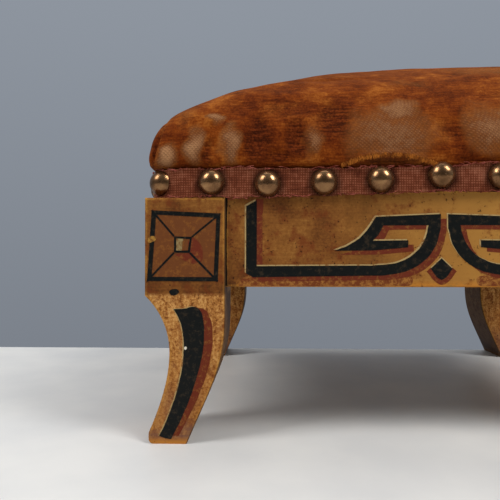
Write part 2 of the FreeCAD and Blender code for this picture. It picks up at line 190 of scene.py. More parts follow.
def gilt_beech(name, foot_edge):
    """Beech with red bole, bronze leaf and a brown glaze: a grainy brown that turns gold on the sabre legs
    and on rubbed edges, with dark specks, red where the leaf is gone, and bare wood inside the frame.
    foot_edge is the height in millimetres of the lower edge, which is worn to orange gold."""
    material, tree, shader, place = start_material(name)
    axes = add(tree, "SeparateXYZ", {"Vector": place})
    # Brush streaks of the glaze, 18 mm long and 0.9 mm high
    along = add(tree, "Mapping", {"Vector": place, "Scale": (1 / 18, 1 / 18, 1 / 0.9)})
    streak = add(tree, "TexNoise", {"Vector": along, "Scale": 1.0, "Detail": 4.0, "Roughness": 0.6})
    cloud = add(tree, "TexNoise", {"Vector": place, "Scale": 1 / 20, "Detail": 4.0, "Roughness": 0.55})
    # Leaf is broken into flakes of 1 to 2 mm, with streaks of 9 mm down the leg
    flake = add(tree, "TexNoise", {"Vector": place, "Scale": 1 / 1.3, "Detail": 4.0, "Roughness": 0.7})
    down = add(tree, "Mapping", {"Vector": place, "Scale": (1 / 2.2, 1 / 2.2, 1 / 9)})
    run = add(tree, "TexNoise", {"Vector": down, "Scale": 1.0, "Detail": 3.0})
    soft_tone = add(tree, "Mix", {FACTOR: 0.18, NUMBER_A: cloud, NUMBER_B: streak})
    tone = add(tree, "Mix", {FACTOR: 0.3, NUMBER_A: soft_tone, NUMBER_B: flake})
    glaze = add(tree, "ValToRGB", {"Fac": tone},
                stops=[(0.38, "#522D14"), (0.47, "#70431C"), (0.54, "#835324"), (0.64, "#9C6B32")])
    leaf_tone = add(tree, "Mix", {FACTOR: 0.35, NUMBER_A: flake, NUMBER_B: run})
    leaf = add(tree, "ValToRGB", {"Fac": leaf_tone},
               stops=[(0.37, "#5F3415"), (0.44, "#8A5425"), (0.5, "#AB743A"), (0.6, "#CA9758")])
    # The leaf is thinner and more orange towards the toe
    thin = add(tree, "MapRange", {"Value": axes.outputs["Z"], "From Min": 58.0, "From Max": 14.0,
                                  "To Max": 0.45})
    warm_leaf = add(tree, "Mix", {FACTOR: thin, COLOUR_A: leaf, COLOUR_B: "#935A26"}, data_type="RGBA")
    # The right half of the frame is drawn lighter and more golden
    lighter_right = add(tree, "MapRange", {"Value": axes.outputs["X"], "From Min": -50.0, "From Max": 20.0,
                                  "To Max": 0.9})
    brighter = add(tree, "Mix", {FACTOR: lighter_right, COLOUR_A: glaze, COLOUR_B: "#A97837"}, data_type="RGBA")
    low = add(tree, "MapRange", {"Value": axes.outputs["Z"], "From Min": 68.0, "From Max": 66.2})
    gilded = add(tree, "Mix", {FACTOR: low, COLOUR_A: brighter, COLOUR_B: warm_leaf}, data_type="RGBA")
    # Edges rubbed back to bright leaf
    surface = add(tree, "NewGeometry")
    round_off = add(tree, "Bevel", {"Radius": 2.2 * MM}, samples=6)
    facing = add(tree, "VectorMath", {0: round_off, 1: surface.outputs["True Normal"]},
                 operation="DOT_PRODUCT")
    rubbed = add(tree, "MapRange", {"Value": facing, "From Min": 0.99, "From Max": 0.9})
    patchy = add(tree, "ValToRGB", {"Fac": cloud}, stops=[(0.36, 0.4), (0.54, 1.0)])
    edge = add(tree, "Math", {0: rubbed, 1: patchy}, operation="MULTIPLY")
    with_edges = add(tree, "Mix", {FACTOR: edge, COLOUR_A: gilded, COLOUR_B: "#C6903C"}, data_type="RGBA")
    # Red bole where the leaf has rubbed away, in spots of about 6 mm
    spot = add(tree, "TexNoise", {"Vector": place, "Scale": 1 / 6, "Detail": 6.0, "Roughness": 0.65})
    red = add(tree, "ValToRGB", {"Fac": spot}, stops=[(0.51, 0.0), (0.64, 0.75)])
    with_red = add(tree, "Mix", {FACTOR: red, COLOUR_A: with_edges, COLOUR_B: "#6B3215"}, data_type="RGBA")
    # Toes scuffed and grimy over the lowest 28 mm
    toe = add(tree, "MapRange", {"Value": axes.outputs["Z"], "From Min": 28.0, "From Max": 4.0})
    scuff = add(tree, "ValToRGB", {"Fac": soft_tone}, stops=[(0.42, 0.0), (0.56, 0.8)])
    grime = add(tree, "Math", {0: toe, 1: scuff}, operation="MULTIPLY")
    with_grime = add(tree, "Mix", {FACTOR: grime, COLOUR_A: with_red, COLOUR_B: "#664740"}, data_type="RGBA")
    # Lower edge rubbed to orange gold over 3.4 mm
    at_foot = add(tree, "MapRange", {"Value": axes.outputs["Z"], "From Min": foot_edge + 3.4,
                                     "From Max": foot_edge + 1.0})
    foot_wear = add(tree, "ValToRGB", {"Fac": tone}, stops=[(0.43, 0.0), (0.5, 0.9)])
    foot_share = add(tree, "Math", {0: at_foot, 1: foot_wear}, operation="MULTIPLY")
    with_foot = add(tree, "Mix", {FACTOR: foot_share, COLOUR_A: with_grime, COLOUR_B: "#B4742C"},
                    data_type="RGBA")
    # Dirt specks of about 1 mm
    grit = add(tree, "TexNoise", {"Vector": place, "Scale": 1 / 1.5, "Detail": 2.0, "Roughness": 0.6})
    speck = add(tree, "ValToRGB", {"Fac": grit}, stops=[(0.645, 0.0), (0.715, 0.85)])
    crowd = add(tree, "ValToRGB", {"Fac": spot}, stops=[(0.42, 0.2), (0.58, 1.0)])
    specks = add(tree, "Math", {0: speck, 1: crowd}, operation="MULTIPLY")
    speckled = add(tree, "Mix", {FACTOR: specks, COLOUR_A: with_foot, COLOUR_B: "#24150A"}, data_type="RGBA")
    # Faces turned to the inside of the stool across X are painted darker: painted shade
    outward = add(tree, "VectorMath", {0: place, 1: (1.0, 0.0, 0.0)}, operation="MULTIPLY")
    turned = add(tree, "VectorMath", {0: outward, 1: surface.outputs["True Normal"]}, operation="DOT_PRODUCT")
    inner_shade = add(tree, "MapRange", {"Value": turned, "From Min": -25.0, "From Max": -75.0, "To Max": 0.75})
    worn = add(tree, "Mix", {FACTOR: inner_shade, COLOUR_A: speckled, COLOUR_B: "#3F3122"}, data_type="RGBA")
    # The back of the rails was never gilded
    across_x = add(tree, "Math", {0: axes.outputs["X"]}, operation="ABSOLUTE")
    across_y = add(tree, "Math", {0: axes.outputs["Y"]}, operation="ABSOLUTE")
    in_x = add(tree, "MapRange", {"Value": across_x, "From Min": half_x / MM - 13,
                                  "From Max": half_x / MM - 15})
    in_y = add(tree, "MapRange", {"Value": across_y, "From Min": half_y / MM - 13,
                                  "From Max": half_y / MM - 15})
    inside = add(tree, "Math", {0: in_x, 1: in_y}, operation="MULTIPLY")
    high = add(tree, "Math", {0: 1.0, 1: low}, operation="SUBTRACT")
    bare = add(tree, "Math", {0: inside, 1: high}, operation="MULTIPLY")
    wood = add(tree, "ValToRGB", {"Fac": streak}, stops=[(0.35, "#7E5B38"), (0.65, "#A88258")])
    colour = add(tree, "Mix", {FACTOR: bare, COLOUR_A: worn, COLOUR_B: wood}, data_type="RGBA")
    rough = add(tree, "MapRange", {"Value": spot, "To Min": 0.42, "To Max": 0.64})
    shine = add(tree, "MapRange", {"Value": flake, "From Min": 0.4, "From Max": 0.7, "To Min": 0.03,
                                   "To Max": 0.2})
    dents = add(tree, "Math", {0: streak, 1: grit}, operation="ADD")
    bump = add(tree, "Bump", {"Height": dents, "Strength": 0.25, "Distance": 0.25 * MM})
    connect(tree, shader, {"Base Color": colour, "Roughness": rough, "Metallic": shine, "Normal": bump,
                           "Specular IOR Level": 0.085})
    return material


def paint(name, main, worn, worn_share, roughness):
    """Brushed oil paint on the gilding: nearly even, with the ground showing through where it is rubbed."""
    material, tree, shader, place = start_material(name)
    # Rubbed spots of about 2 mm, with specks of 0.5 mm
    rub = add(tree, "TexNoise", {"Vector": place, "Scale": 1 / 2.2, "Detail": 6.0, "Roughness": 0.8})
    mask = add(tree, "ValToRGB", {"Fac": rub}, stops=[(0.66 - worn_share, 0.0), (0.76 - worn_share, 1.0)])
    colour = add(tree, "Mix", {FACTOR: mask, COLOUR_A: main, COLOUR_B: worn}, data_type="RGBA")
    along = add(tree, "Mapping", {"Vector": place, "Scale": (1 / 12, 1 / 12, 1 / 0.8)})
    brush = add(tree, "TexNoise", {"Vector": along, "Scale": 1.0, "Detail": 3.0})
    bump = add(tree, "Bump", {"Height": brush, "Strength": 0.3, "Distance": 0.2 * MM})
    connect(tree, shader, {"Base Color": colour, "Normal": bump, "Roughness": roughness,
                           "Specular IOR Level": 0.15})
    return material


def aged_brass():
    """Stamped brass dome nails with a brown patina: bright on the crown, with painted shade on the underside.
    """
    material, tree, shader, place = start_material("aged_brass")
    # Patina in soft blotches of 5 mm, with grit of 0.9 mm
    blotch = add(tree, "TexNoise", {"Vector": place, "Scale": 1 / 5, "Detail": 3.0, "Roughness": 0.5})
    colour = add(tree, "ValToRGB", {"Fac": blotch},
                 stops=[(0.3, "#664A30"), (0.46, "#846041"), (0.58, "#9B744E"), (0.72, "#AE865C")])
    rough = add(tree, "MapRange", {"Value": blotch, "From Min": 0.35, "From Max": 0.65, "To Min": 0.3,
                                   "To Max": 0.2})
    grit = add(tree, "TexNoise", {"Vector": place, "Scale": 1 / 0.9, "Detail": 2.0})
    bump = add(tree, "Bump", {"Height": grit, "Strength": 0.08, "Distance": 0.1 * MM})
    # Painted shade: the lower side of each dome is darkened by its normal
    surface = add(tree, "NewGeometry")
    way = add(tree, "SeparateXYZ", {"Vector": surface.outputs["Normal"]})
    under = add(tree, "MapRange", {"Value": way.outputs["Z"], "From Min": 0.15, "From Max": -0.5,
                                   "To Max": 0.35})
    shaded_underside = add(tree, "Mix", {FACTOR: under, COLOUR_A: colour, COLOUR_B: "#4A2C14"}, data_type="RGBA")
    connect(tree, shader, {"Base Color": shaded_underside, "Roughness": rough, "Normal": bump, "Metallic": 0.9})
    return material


def worn_velvet():
    """Cotton velvet, rust red: a streaky pile that shines at its edge, crushed dark in places, with painted
    shade in its folds and under the torn lip, a painted sheen high on the crown, and rubbed down to its tan
    ground weave round the foot of the cushion."""
    material, tree, shader, place = start_material("worn_velvet")
    # Pile crushed into clouds of 20 by 13 mm and blots of 5 mm, with streaks of 7 mm and a fuzz of 1 mm
    wide = add(tree, "Mapping", {"Vector": place, "Scale": (1 / 20, 1 / 20, 1 / 13)})
    cloud = add(tree, "TexNoise", {"Vector": wide, "Scale": 1.0, "Detail": 4.0, "Roughness": 0.55,
                                   "Distortion": 0.5})
    blot = add(tree, "TexNoise", {"Vector": place, "Scale": 1 / 5, "Detail": 4.0, "Roughness": 0.6,
                                  "Distortion": 0.4})
    along = add(tree, "Mapping", {"Vector": place, "Scale": (1 / 7, 1 / 7, 1 / 0.9)})
    streak = add(tree, "TexNoise", {"Vector": along, "Scale": 1.0, "Detail": 3.0, "Roughness": 0.6})
    fur = add(tree, "TexNoise", {"Vector": place, "Scale": 1 / 1.0, "Detail": 3.0, "Roughness": 0.7})
    crushed = add(tree, "Mix", {FACTOR: 0.38, NUMBER_A: cloud, NUMBER_B: blot})
    brushed = add(tree, "Mix", {FACTOR: 0.5, NUMBER_A: streak, NUMBER_B: fur})
    tone = add(tree, "Mix", {FACTOR: 0.42, NUMBER_A: crushed, NUMBER_B: brushed})
    pile = add(tree, "ValToRGB", {"Fac": tone},
               stops=[(0.39, "#3C1302"), (0.46, "#592206"), (0.53, "#72340B"), (0.62, "#95541C")])
    # Ground weave; the real one is 0.6 mm, drawn at 1.3 mm and on the slant so that it shows
    threads = []
    for slope in (1, -1):
        leaning = add(tree, "Mapping", {"Vector": place, "Scale": (1, 1, slope)})
        wave = add(tree, "TexWave", {"Vector": leaning, "Scale": math.pi / (10 * 0.9), "Distortion": 1.0,
                                     "Detail": 1.0, "Detail Scale": 0.5}, bands_direction="DIAGONAL")
        threads.append(wave.outputs["Fac"])
    weave = add(tree, "Math", {0: threads[0], 1: threads[1]}, operation="MULTIPLY")
    ground = add(tree, "ValToRGB", {"Fac": weave},
                 stops=[(0.1, "#623820"), (0.4, "#6C4125"), (0.8, "#7E502D")])
    # Pile bleached by the sun before it wears through; the faint place high on the right of the crown is
    # painted sheen
    bleach = add(tree, "Attribute", attribute_name="worn")
    sunned_and_sheen = add(tree, "MapRange", {"Value": bleach.outputs["Fac"], "From Min": 0.1, "From Max": 0.45,
                                    "To Max": 0.25})
    pale_pile = add(tree, "Mix", {FACTOR: sunned_and_sheen, COLOUR_A: pile, COLOUR_B: "#99652F"}, data_type="RGBA")
    # Where the pile is gone, kept on the cushion as an attribute and broken up by tufts of 2 mm
    tuft = add(tree, "TexNoise", {"Vector": place, "Scale": 1 / 2.4, "Detail": 4.0, "Roughness": 0.7})
    ragged = add(tree, "Math", {0: bleach.outputs["Fac"], 1: tuft}, operation="ADD")
    bald = add(tree, "MapRange", {"Value": ragged, "From Min": 0.72, "From Max": 1.25})
    # The deepest wear has faded to tan
    fading = add(tree, "MapRange", {"Value": ragged, "From Min": 1.05, "From Max": 2.0, "To Max": 0.85})
    faded = add(tree, "Mix", {FACTOR: fading, COLOUR_A: ground, COLOUR_B: "#A0744F"}, data_type="RGBA")
    cloth = add(tree, "Mix", {FACTOR: bald, COLOUR_A: pale_pile, COLOUR_B: faded}, data_type="RGBA")
    # Crushed and soiled places, with painted shade in the folds, the corner pleats and the hollow under the
    # torn lip
    soil_and_shade = add(tree, "Attribute", attribute_name="soiled_and_shaded")
    dull = add(tree, "Math", {0: soil_and_shade.outputs["Fac"], 1: tuft}, operation="MULTIPLY")
    dark = add(tree, "MapRange", {"Value": dull, "From Min": 0.08, "From Max": 0.48, "To Max": 0.92})
    crushed_and_shaded_pile = add(tree, "ValToRGB", {"Fac": brushed},
                       stops=[(0.42, "#2C0D02"), (0.5, "#421604"), (0.6, "#63290D")])
    colour = add(tree, "Mix", {FACTOR: dark, COLOUR_A: cloth, COLOUR_B: crushed_and_shaded_pile}, data_type="RGBA")
    relief = add(tree, "Mix", {FACTOR: bald, COLOUR_A: fur.outputs["Color"], COLOUR_B: weave},
                 data_type="RGBA")
    bump = add(tree, "Bump", {"Height": relief, "Strength": 0.6, "Distance": 0.5 * MM})
    connect(tree, shader, {"Base Color": colour, "Normal": bump, "Roughness": 0.9, "Specular IOR Level": 0.05,
                           "Sheen Weight": 0.2, "Sheen Roughness": 0.4, "Sheen Tint": "#D2903F"})
    return material


def woven_cloth(name, dark, middle, light, pitch_mm, weave_share):
    """Plain woven cloth: crossing threads, each painted lighter on its crown as a painted highlight over the
    real weave, with slubs and fading. It reads the piece's own UV map, which is laid out in metres along and
    across the threads. weave_share is how much of the tone comes from the weave and not from fading."""
    material, tree, shader, place = start_material(name)
    coords = add(tree, "TexCoord")
    flat = add(tree, "Mapping", {"Vector": coords.outputs["UV"], "Scale": (1000, 1000, 1000)})
    threads = []
    for way in "XY":
        wave = add(tree, "TexWave", {"Vector": flat, "Scale": math.pi / (10 * pitch_mm), "Distortion": 1.2,
                                     "Detail": 2.0, "Detail Scale": 0.8}, bands_direction=way)
        threads.append(wave.outputs["Fac"])
    crossing = add(tree, "Math", {0: threads[0], 1: threads[1]}, operation="MULTIPLY")
    # Slubs 6 and 4 mm long: no two threads have the same tone
    lengthways = add(tree, "Mapping", {"Vector": flat, "Scale": (1 / 6, 1 / pitch_mm, 1.0)})
    slub_long = add(tree, "TexNoise", {"Vector": lengthways, "Scale": 1.0})
    crossways = add(tree, "Mapping", {"Vector": flat, "Scale": (1 / pitch_mm, 1 / 4, 1.0)})
    slub_cross = add(tree, "TexNoise", {"Vector": crossways, "Scale": 1.0})
    slub = add(tree, "Mix", {FACTOR: 0.5, NUMBER_A: slub_long, NUMBER_B: slub_cross})
    fade = add(tree, "TexNoise", {"Vector": place, "Scale": 1 / 9, "Detail": 5.0, "Roughness": 0.65})
    uneven = add(tree, "Mix", {FACTOR: 0.5, NUMBER_A: fade, NUMBER_B: slub})
    tone = add(tree, "Mix", {FACTOR: weave_share, NUMBER_A: uneven, NUMBER_B: crossing})
    plain = add(tree, "ValToRGB", {"Fac": tone}, stops=[(0.3, dark), (0.45, middle), (0.62, light)])
    # Darkened where the piece's attribute says: painted shade round the tape's nails
    soil_and_shade = add(tree, "Attribute", attribute_name="soiled_and_shaded")
    colour = add(tree, "Mix", {FACTOR: soil_and_shade.outputs["Fac"], COLOUR_A: plain, COLOUR_B: "#170A05"},
                 data_type="RGBA")
    bump = add(tree, "Bump", {"Height": crossing, "Strength": 0.3, "Distance": 0.35 * MM})
    connect(tree, shader, {"Base Color": colour, "Normal": bump, "Roughness": 0.9,
                           "Specular IOR Level": 0.08})
    return material


def thread(name, dark, light):
    """Loose yarn: matt, with a change of tone every few millimetres."""
    material, tree, shader, place = start_material(name)
    tone = add(tree, "TexNoise", {"Vector": place, "Scale": 1 / 3, "Detail": 3.0})
    colour = add(tree, "ValToRGB", {"Fac": tone}, stops=[(0.4, dark), (0.62, light)])
    connect(tree, shader, {"Base Color": colour, "Roughness": 0.9, "Specular IOR Level": 0.08})
    return material


def bare_beech():
    """Sawn beech left bare inside the frame: pale tan with short darker flecks along the grain."""
    material, tree, shader, place = start_material("bare_beech")
    # Flecks 4 mm long and 0.6 mm wide over bands of 7 mm
    grain = add(tree, "Mapping", {"Vector": place, "Scale": (1 / 4, 1 / 4, 1 / 0.6)})
    fleck = add(tree, "TexNoise", {"Vector": grain, "Scale": 1.0, "Detail": 4.0})
    band = add(tree, "TexNoise", {"Vector": place, "Scale": 1 / 7, "Detail": 3.0})
    tone = add(tree, "Math", {0: fleck, 1: band}, operation="ADD")
    colour = add(tree, "ValToRGB", {"Fac": tone}, stops=[(0.75, "#7C5933"), (1.0, "#A37D4F")])
    bump = add(tree, "Bump", {"Height": fleck, "Strength": 0.4, "Distance": 0.3 * MM})
    connect(tree, shader, {"Base Color": colour, "Normal": bump, "Roughness": 0.75})
    return material


def old_iron(name, dark, light, roughness):
    """Cut tacks and wood screws: dull metal with a thin brown rust."""
    material, tree, shader, place = start_material(name)
    rust = add(tree, "TexNoise", {"Vector": place, "Scale": 1 / 1.8, "Detail": 4.0})
    colour = add(tree, "ValToRGB", {"Fac": rust}, stops=[(0.42, dark), (0.62, light)])
    bump = add(tree, "Bump", {"Height": rust, "Strength": 0.3, "Distance": 0.1 * MM})
    connect(tree, shader, {"Base Color": colour, "Normal": bump, "Metallic": 0.85, "Roughness": roughness})
    return material


gilt_leg = gilt_beech("gilt_beech_leg", 0.0)
gilt_rail = gilt_beech("gilt_beech_rail", rail_low.z / MM)
black = paint("black_japan", "#0C0F0E", "#30271C", 0.13, 0.42)
cream = paint("ochre_cream_paint", "#A88E5E", "#7A5226", 0.14, 0.55)
bole = paint("red_bole", "#642611", "#7C4A1E", 0.14, 0.6)
rubbed_bole = paint("rubbed_bole", "#6A3212", "#96622A", 0.19, 0.6)
bright_leaf = paint("bright_leaf", "#A07430", "#6A441C", 0.18, 0.45)
panel_glaze = paint("panel_glaze", "#673917", "#79481A", 0.15, 0.6)
faded_cream = paint("faded_cream_paint", "#8E7A50", "#6E4A24", 0.2, 0.6)
gesso = paint("chipped_gesso", "#D8D0BE", "#A89878", 0.0, 0.7)
# Dark line painted along each joint between rail and block
joint_dark = paint("joint_dark_line", "#1A1008", "#3A2410", 0.1, 0.8)
brass = aged_brass()
velvet = worn_velvet()
# Woven cloths, with the thread spacing in millimetres and the weave's share of the tone. The jute has its
# real spacing; the tape and the velvet's foot are drawn coarser, so that their weave shows
tape_cloth = woven_cloth("woven_cotton_tape", "#431C10", "#63301C", "#935B44", 1.1, 0.15)
hessian_cloth = woven_cloth("jute_hessian", "#5B4527", "#937548", "#B99C6B", 1.6, 0.5)
webbing_cloth = woven_cloth("jute_webbing", "#6A5230", "#A08352", "#C6AA78", 2.0, 0.5)
velvet_foot = woven_cloth("velvet_foot", "#2C1006", "#4A1F0E", "#6A3820", 1.7, 0.4)
velvet_yarn = thread("velvet_yarn", "#6A340E", "#A86424")
tape_yarn = thread("cotton_yarn", "#6A2A20", "#A2594A")
beech = bare_beech()
screw_steel = old_iron("steel_screw", "#4A4038", "#8A847A", 0.42)
tack_iron = old_iron("blued_tack", "#1E2024", "#4A3A2C", 0.5)

# Rigid CAD nodes keep their shape and get their finish
for corner in ("front_left", "front_right", "rear_left", "rear_right"):
    finish_node("leg_" + corner, gilt_leg)
    finish_node("corner_block_" + corner, beech)
for side in ("front", "rear", "left", "right"):
    finish_node("rail_" + side, gilt_rail)
    finish_node("dome_nails_" + side, brass)
finish_node("dome_nails_corner", brass)
finish_node("corner_block_screws", screw_steel)
finish_node("webbing_tacks", tack_iron)
finish_node("hessian_tacks", tack_iron)


# Painted ornament

PAINT_DEPTH = 0.25 * MM
# Wander of the brush: over what length and how far, in millimetres
WANDER = ((4, 0.16), (1.2, 0.1))


def painted(name, outlines, material, face, turn, top):
    """Flat paint on one face of the frame. Outlines are lists of (across, up, corner) in millimetres, and top
    is how far the paint stands out; face is the distance of the face from the stool's middle in metres."""
    curve = bpy.data.curves.new(name, "CURVE")
    curve.dimensions = "2D"
    curve.fill_mode = "BOTH"
    curve.extrude = PAINT_DEPTH / 2
    for outline in outlines:
        spline = curve.splines.new("BEZIER")
        spline.bezier_points.add(len(outline) - 1)
        spline.use_cyclic_u = True
        spline.resolution_u = 12
        for point, (across, up, corner) in zip(spline.bezier_points, outline):
            point.co = (across * MM, up * MM, 0)
            point.handle_left_type = point.handle_right_type = "VECTOR" if corner else "AUTO"
    shape = as_mesh(name, curve)
    merge_points(shape, 0.002 * MM)
    bpy.ops.mesh.normals_make_consistent(inside=False)
    bpy.ops.object.mode_set(mode="OBJECT")
    for vertex in shape.data.vertices:
        spot = Vector((vertex.co.x, vertex.co.y, turn * MM))
        wander = sum((noise.noise_vector(spot / (size * MM)) * reach for size, reach in WANDER), Vector())
        vertex.co.x += wander.x * MM
        vertex.co.y += wander.y * MM
    out = face + top * MM - PAINT_DEPTH / 2
    shape.rotation_euler = (math.radians(90), 0, math.radians(turn))
    shape.location = (out * math.sin(math.radians(turn)), -out * math.cos(math.radians(turn)), 0)
    settle(shape, name, material, 30)


def moved(outlines, right, up):
    """Outlines in another place."""
    return [[(x + right, z + up, corner) for x, z, corner in outline] for outline in outlines]


def mirrored(outline):
    """Outline turned over to the other hand."""
    return [(-x, z, corner) for x, z, corner in reversed(outline)]


# One half of the key fret: bar at the block, foot line, quarter round and hook
FRET = [
    (-89.1, 107.2, True), (-84.3, 109.9, True), (-84.3, 79.9, True), (-39.6, 80.2, True),
    (-27.6, 80.6, False), (-19.6, 82.0, False), (-11.7, 87.3, False), (-8.3, 93.4, False),
    (-7.1, 98.5, True), (-27.2, 98.3, True), (-29.3, 94.4, False), (-32.0, 91.4, True),
    (-16.2, 91.6, True), (-16.2, 88.5, True), (-31.6, 87.1, True), (-49.1, 86.9, True),
    (-42.4, 89.7, False), (-35.6, 94.9, False), (-30.6, 102.2, True), (-1.6, 103.4, True),
    (-1.7, 96.9, True), (-4.5, 88.1, False), (-11.7, 80.4, False), (-21.7, 76.6, False),
    (-39.7, 75.6, True), (-86.0, 74.9, True), (-89.1, 76.6, True),
]
DIAMOND = [(-6.2, 78.8, True), (-1.3, 83.5, True), (3.6, 78.8, True), (-0.6, 74.1, False),
           (-2.0, 74.1, False)]
DIAMOND_FRAME = [(-8.0, 77.6, True), (-1.3, 84.0, True), (5.4, 77.6, True), (-0.2, 71.8, False),
                 (-2.4, 71.8, False)]
# Red down the bar at the left block, and the red ground rubbed to orange along the foot of the rail
FRET_RED_BAR = [(-84.6, 110.6, True), (-81.2, 110.4, True), (-81.4, 104.0, True), (-84.6, 104.0, True)]
FRET_FOOT_RUB = [(-91.0, 74.4, False), (-60.0, 75.2, True), (-22.0, 76.0, False), (-14.0, 73.4, False),
                 (-24.0, 71.0, True), (-92.5, 70.9, True)]
# On the shorter sides, what lies beyond the bar's place is drawn in by a step
FRET_BAR, FRET_STEP = -50.0, 9.0
# Dark line in the joint between rail and block: its width, how far it runs over the block, its foot, waist
# and top
JOINT_LINE, JOINT_LAP = 0.9, 0.2
JOINT_FOOT, JOINT_WAIST, JOINT_TOP = 71.0, 90.0, 112.0


def stepped(outline, step):
    """Outline with its outer part drawn in."""
    return [(x + step if x < FRET_BAR else x, z, corner) for x, z, corner in outline]


def joint_line(end):
    """Dark line along the joint at a rail's left end."""
    left, right = -end - JOINT_LAP, -end + JOINT_LINE
    waist = -end + JOINT_LINE * 0.6
    return [(left, JOINT_FOOT, True), (right, JOINT_FOOT, True), (waist, JOINT_WAIST, False),
            (right, JOINT_TOP, True), (left, JOINT_TOP, True)]


long_end, short_end = (half_x - block_side) / MM, (half_y - block_side) / MM
rail_faces = {
    "front": (-rail_low.y, 0, 0.0, long_end), "rear": (-rail_low.y, 180, 0.0, long_end),
    "left": (-side_low.x, -90, FRET_STEP, short_end), "right": (-side_low.x, 90, FRET_STEP, short_end),
}
for side, (face, turn, step, end) in rail_faces.items():
    fret, rub, joint = stepped(FRET, step), stepped(FRET_FOOT_RUB, step), joint_line(end)
    frets = [fret, mirrored(fret)]
    marks = {
        "fret_rub": ([rub, mirrored(rub)], rubbed_bole, 0.03),
        "fret_red": (moved(frets, 2.6, -2.0), bole, 0.05),
        "fret_red_bar": ([stepped(FRET_RED_BAR, step)], bole, 0.06),
        "fret_cream": (moved(frets, -0.6, 0.55), cream, 0.09),
        "fret_black": (frets, black, 0.14),
        "diamond_red": ([DIAMOND_FRAME], bole, 0.06),
        "diamond_cream": (moved([DIAMOND], 0.0, 0.7), cream, 0.11),
        "diamond_black": ([DIAMOND], black, 0.16),
        # Dark line painted along each joint between rail and block
        "joint_dark_line": ([joint, mirrored(joint)], joint_dark, 0.06),
    }
    for mark, (outlines, colour, top) in marks.items():
        painted(f"{mark}_{side}", outlines, colour, face, turn, top)

# Square on each outer face of a block, drawn from the middle of that face
SQUARE = [(-15.0, 105.2, True), (16.2, 103.7, True), (15.0, 73.1, True), (-17.0, 73.3, True)]
SQUARE_IN = [(-13.0, 103.2, True), (14.2, 101.8, True), (13.1, 75.0, True), (-15.0, 75.2, True)]
HEART = [(-4.9, 93.5, True), (3.2, 93.2, True), (2.4, 86.0, True), (-4.9, 86.0, True)]
HEART_IN = [(-3.9, 92.5, True), (2.2, 92.2, True), (1.5, 87.0, True), (-3.9, 87.0, True)]
HEART_FILL = [(-3.9, 92.5, True), (-0.6, 92.4, True), (-1.4, 87.0, True), (-3.9, 87.0, True)]
STAIN = [(2.4, 92.6, False), (6.6, 90.6, False), (8.2, 86.0, False), (7.0, 81.6, False), (0.0, 82.4, False),
         (-4.6, 85.4, True), (2.4, 86.0, True)]
SCRATCH = [(-16.7, 92.8, True), (-15.0, 93.6, False), (-12.9, 93.2, True), (-13.4, 91.6, False),
           (-14.6, 91.1, True), (-16.6, 90.6, False)]
DOT = [(-7.0, 68.2, False), (-5.0, 69.7, False), (-2.6, 68.4, False), (-4.6, 66.8, False)]
CHIP = [(-117.0, 43.0, False), (-116.4, 43.8, False), (-115.8, 43.0, False), (-116.4, 42.3, False)]
DIAGONAL_WIDTH = 0.45


def diagonal(start, end):
    """Thin ruled line between two corners."""
    run = Vector((end[0] - start[0], end[1] - start[1]))
    off = Vector((-run.y, run.x)).normalized() * DIAGONAL_WIDTH
    return [(start[0] + off.x, start[1] + off.y, True), (end[0] + off.x, end[1] + off.y, True),
            (end[0] - off.x, end[1] - off.y, True), (start[0] - off.x, start[1] - off.y, True)]


# Stripe down the sabre leg, on the front and rear faces
STRIPE = [
    (-121.7, 60.6, True), (-116.6, 60.9, False), (-112.4, 61.7, False), (-109.9, 60.2, False),
    (-108.3, 55.3, False), (-108.2, 44.4, False), (-111.5, 29.2, False), (-117.8, 12.2, False),
    (-122.8, 2.2, True), (-125.4, 2.6, True), (-128.2, 3.6, True), (-124.9, 10.6, False),
    (-120.0, 24.7, False), (-117.3, 40.0, False), (-118.4, 53.7, False),
]
STRIPE_RED = [
    (-114.0, 60.6, True), (-108.0, 60.6, False), (-105.4, 57.0, False), (-104.2, 50.0, False),
    (-105.0, 39.0, False), (-110.7, 21.0, False), (-119.4, 3.6, True), (-123.0, 3.6, True),
    (-116.0, 22.0, False), (-112.0, 44.0, False),
]

# Marks of a left block and leg: their outlines, paint and how far they stand out
BLOCK_MARKS = {
    "square_panel": ([SQUARE_IN], panel_glaze, 0.02),
    "square_red": ([STAIN], bole, 0.05),
    "square_lines": ([diagonal(p, q) for p, q in zip(SQUARE, HEART)], black, 0.11),
    "square_black": ([SQUARE, SQUARE_IN, HEART, HEART_IN], black, 0.14),
    "square_cream": ([HEART_FILL], faded_cream, 0.1),
    "square_scratch": ([SCRATCH], bright_leaf, 0.17),
    "square_dot": ([DOT], black, 0.14),
}
LEG_MARKS = {
    "stripe_red": ([STRIPE_RED], bole, 0.05),
    "stripe_cream": (moved([STRIPE], -0.5, 0.2), cream, 0.09),
    "stripe_black": ([STRIPE], black, 0.14),
    "stripe_chip": ([CHIP], gesso, 0.18),
}

block_middle = (half_x - block_side / 2) / MM
side_middle = (half_y - block_side / 2) / MM
for side, turn, face, middle, leg_marks in (
        ("front", 0, half_y, block_middle, LEG_MARKS), ("rear", 180, half_y, block_middle, LEG_MARKS),
        ("left", -90, half_x, side_middle, {}), ("right", 90, half_x, side_middle, {})):
    for hand, block_place in (("first", -middle), ("second", middle)):
        for marks, place in ((BLOCK_MARKS, block_place), (leg_marks, 0.0)):
            for mark, (outlines, colour, top) in marks.items():
                if hand == "second":
                    outlines = [mirrored(outline) for outline in outlines]
                painted(f"{mark}_{side}_{hand}", moved(outlines, place, 0.0), colour, face, turn, top)


# Seat edge and cushion

TAPE_CORNER = 18 * MM
TAPE_INSET = half_x + tape_low.x
TAPE_WIDTH = 13.2 * MM
TAPE_MIDDLE = tape_low.z + TAPE_WIDTH / 2
TAPE_RISE = 2.2 * MM
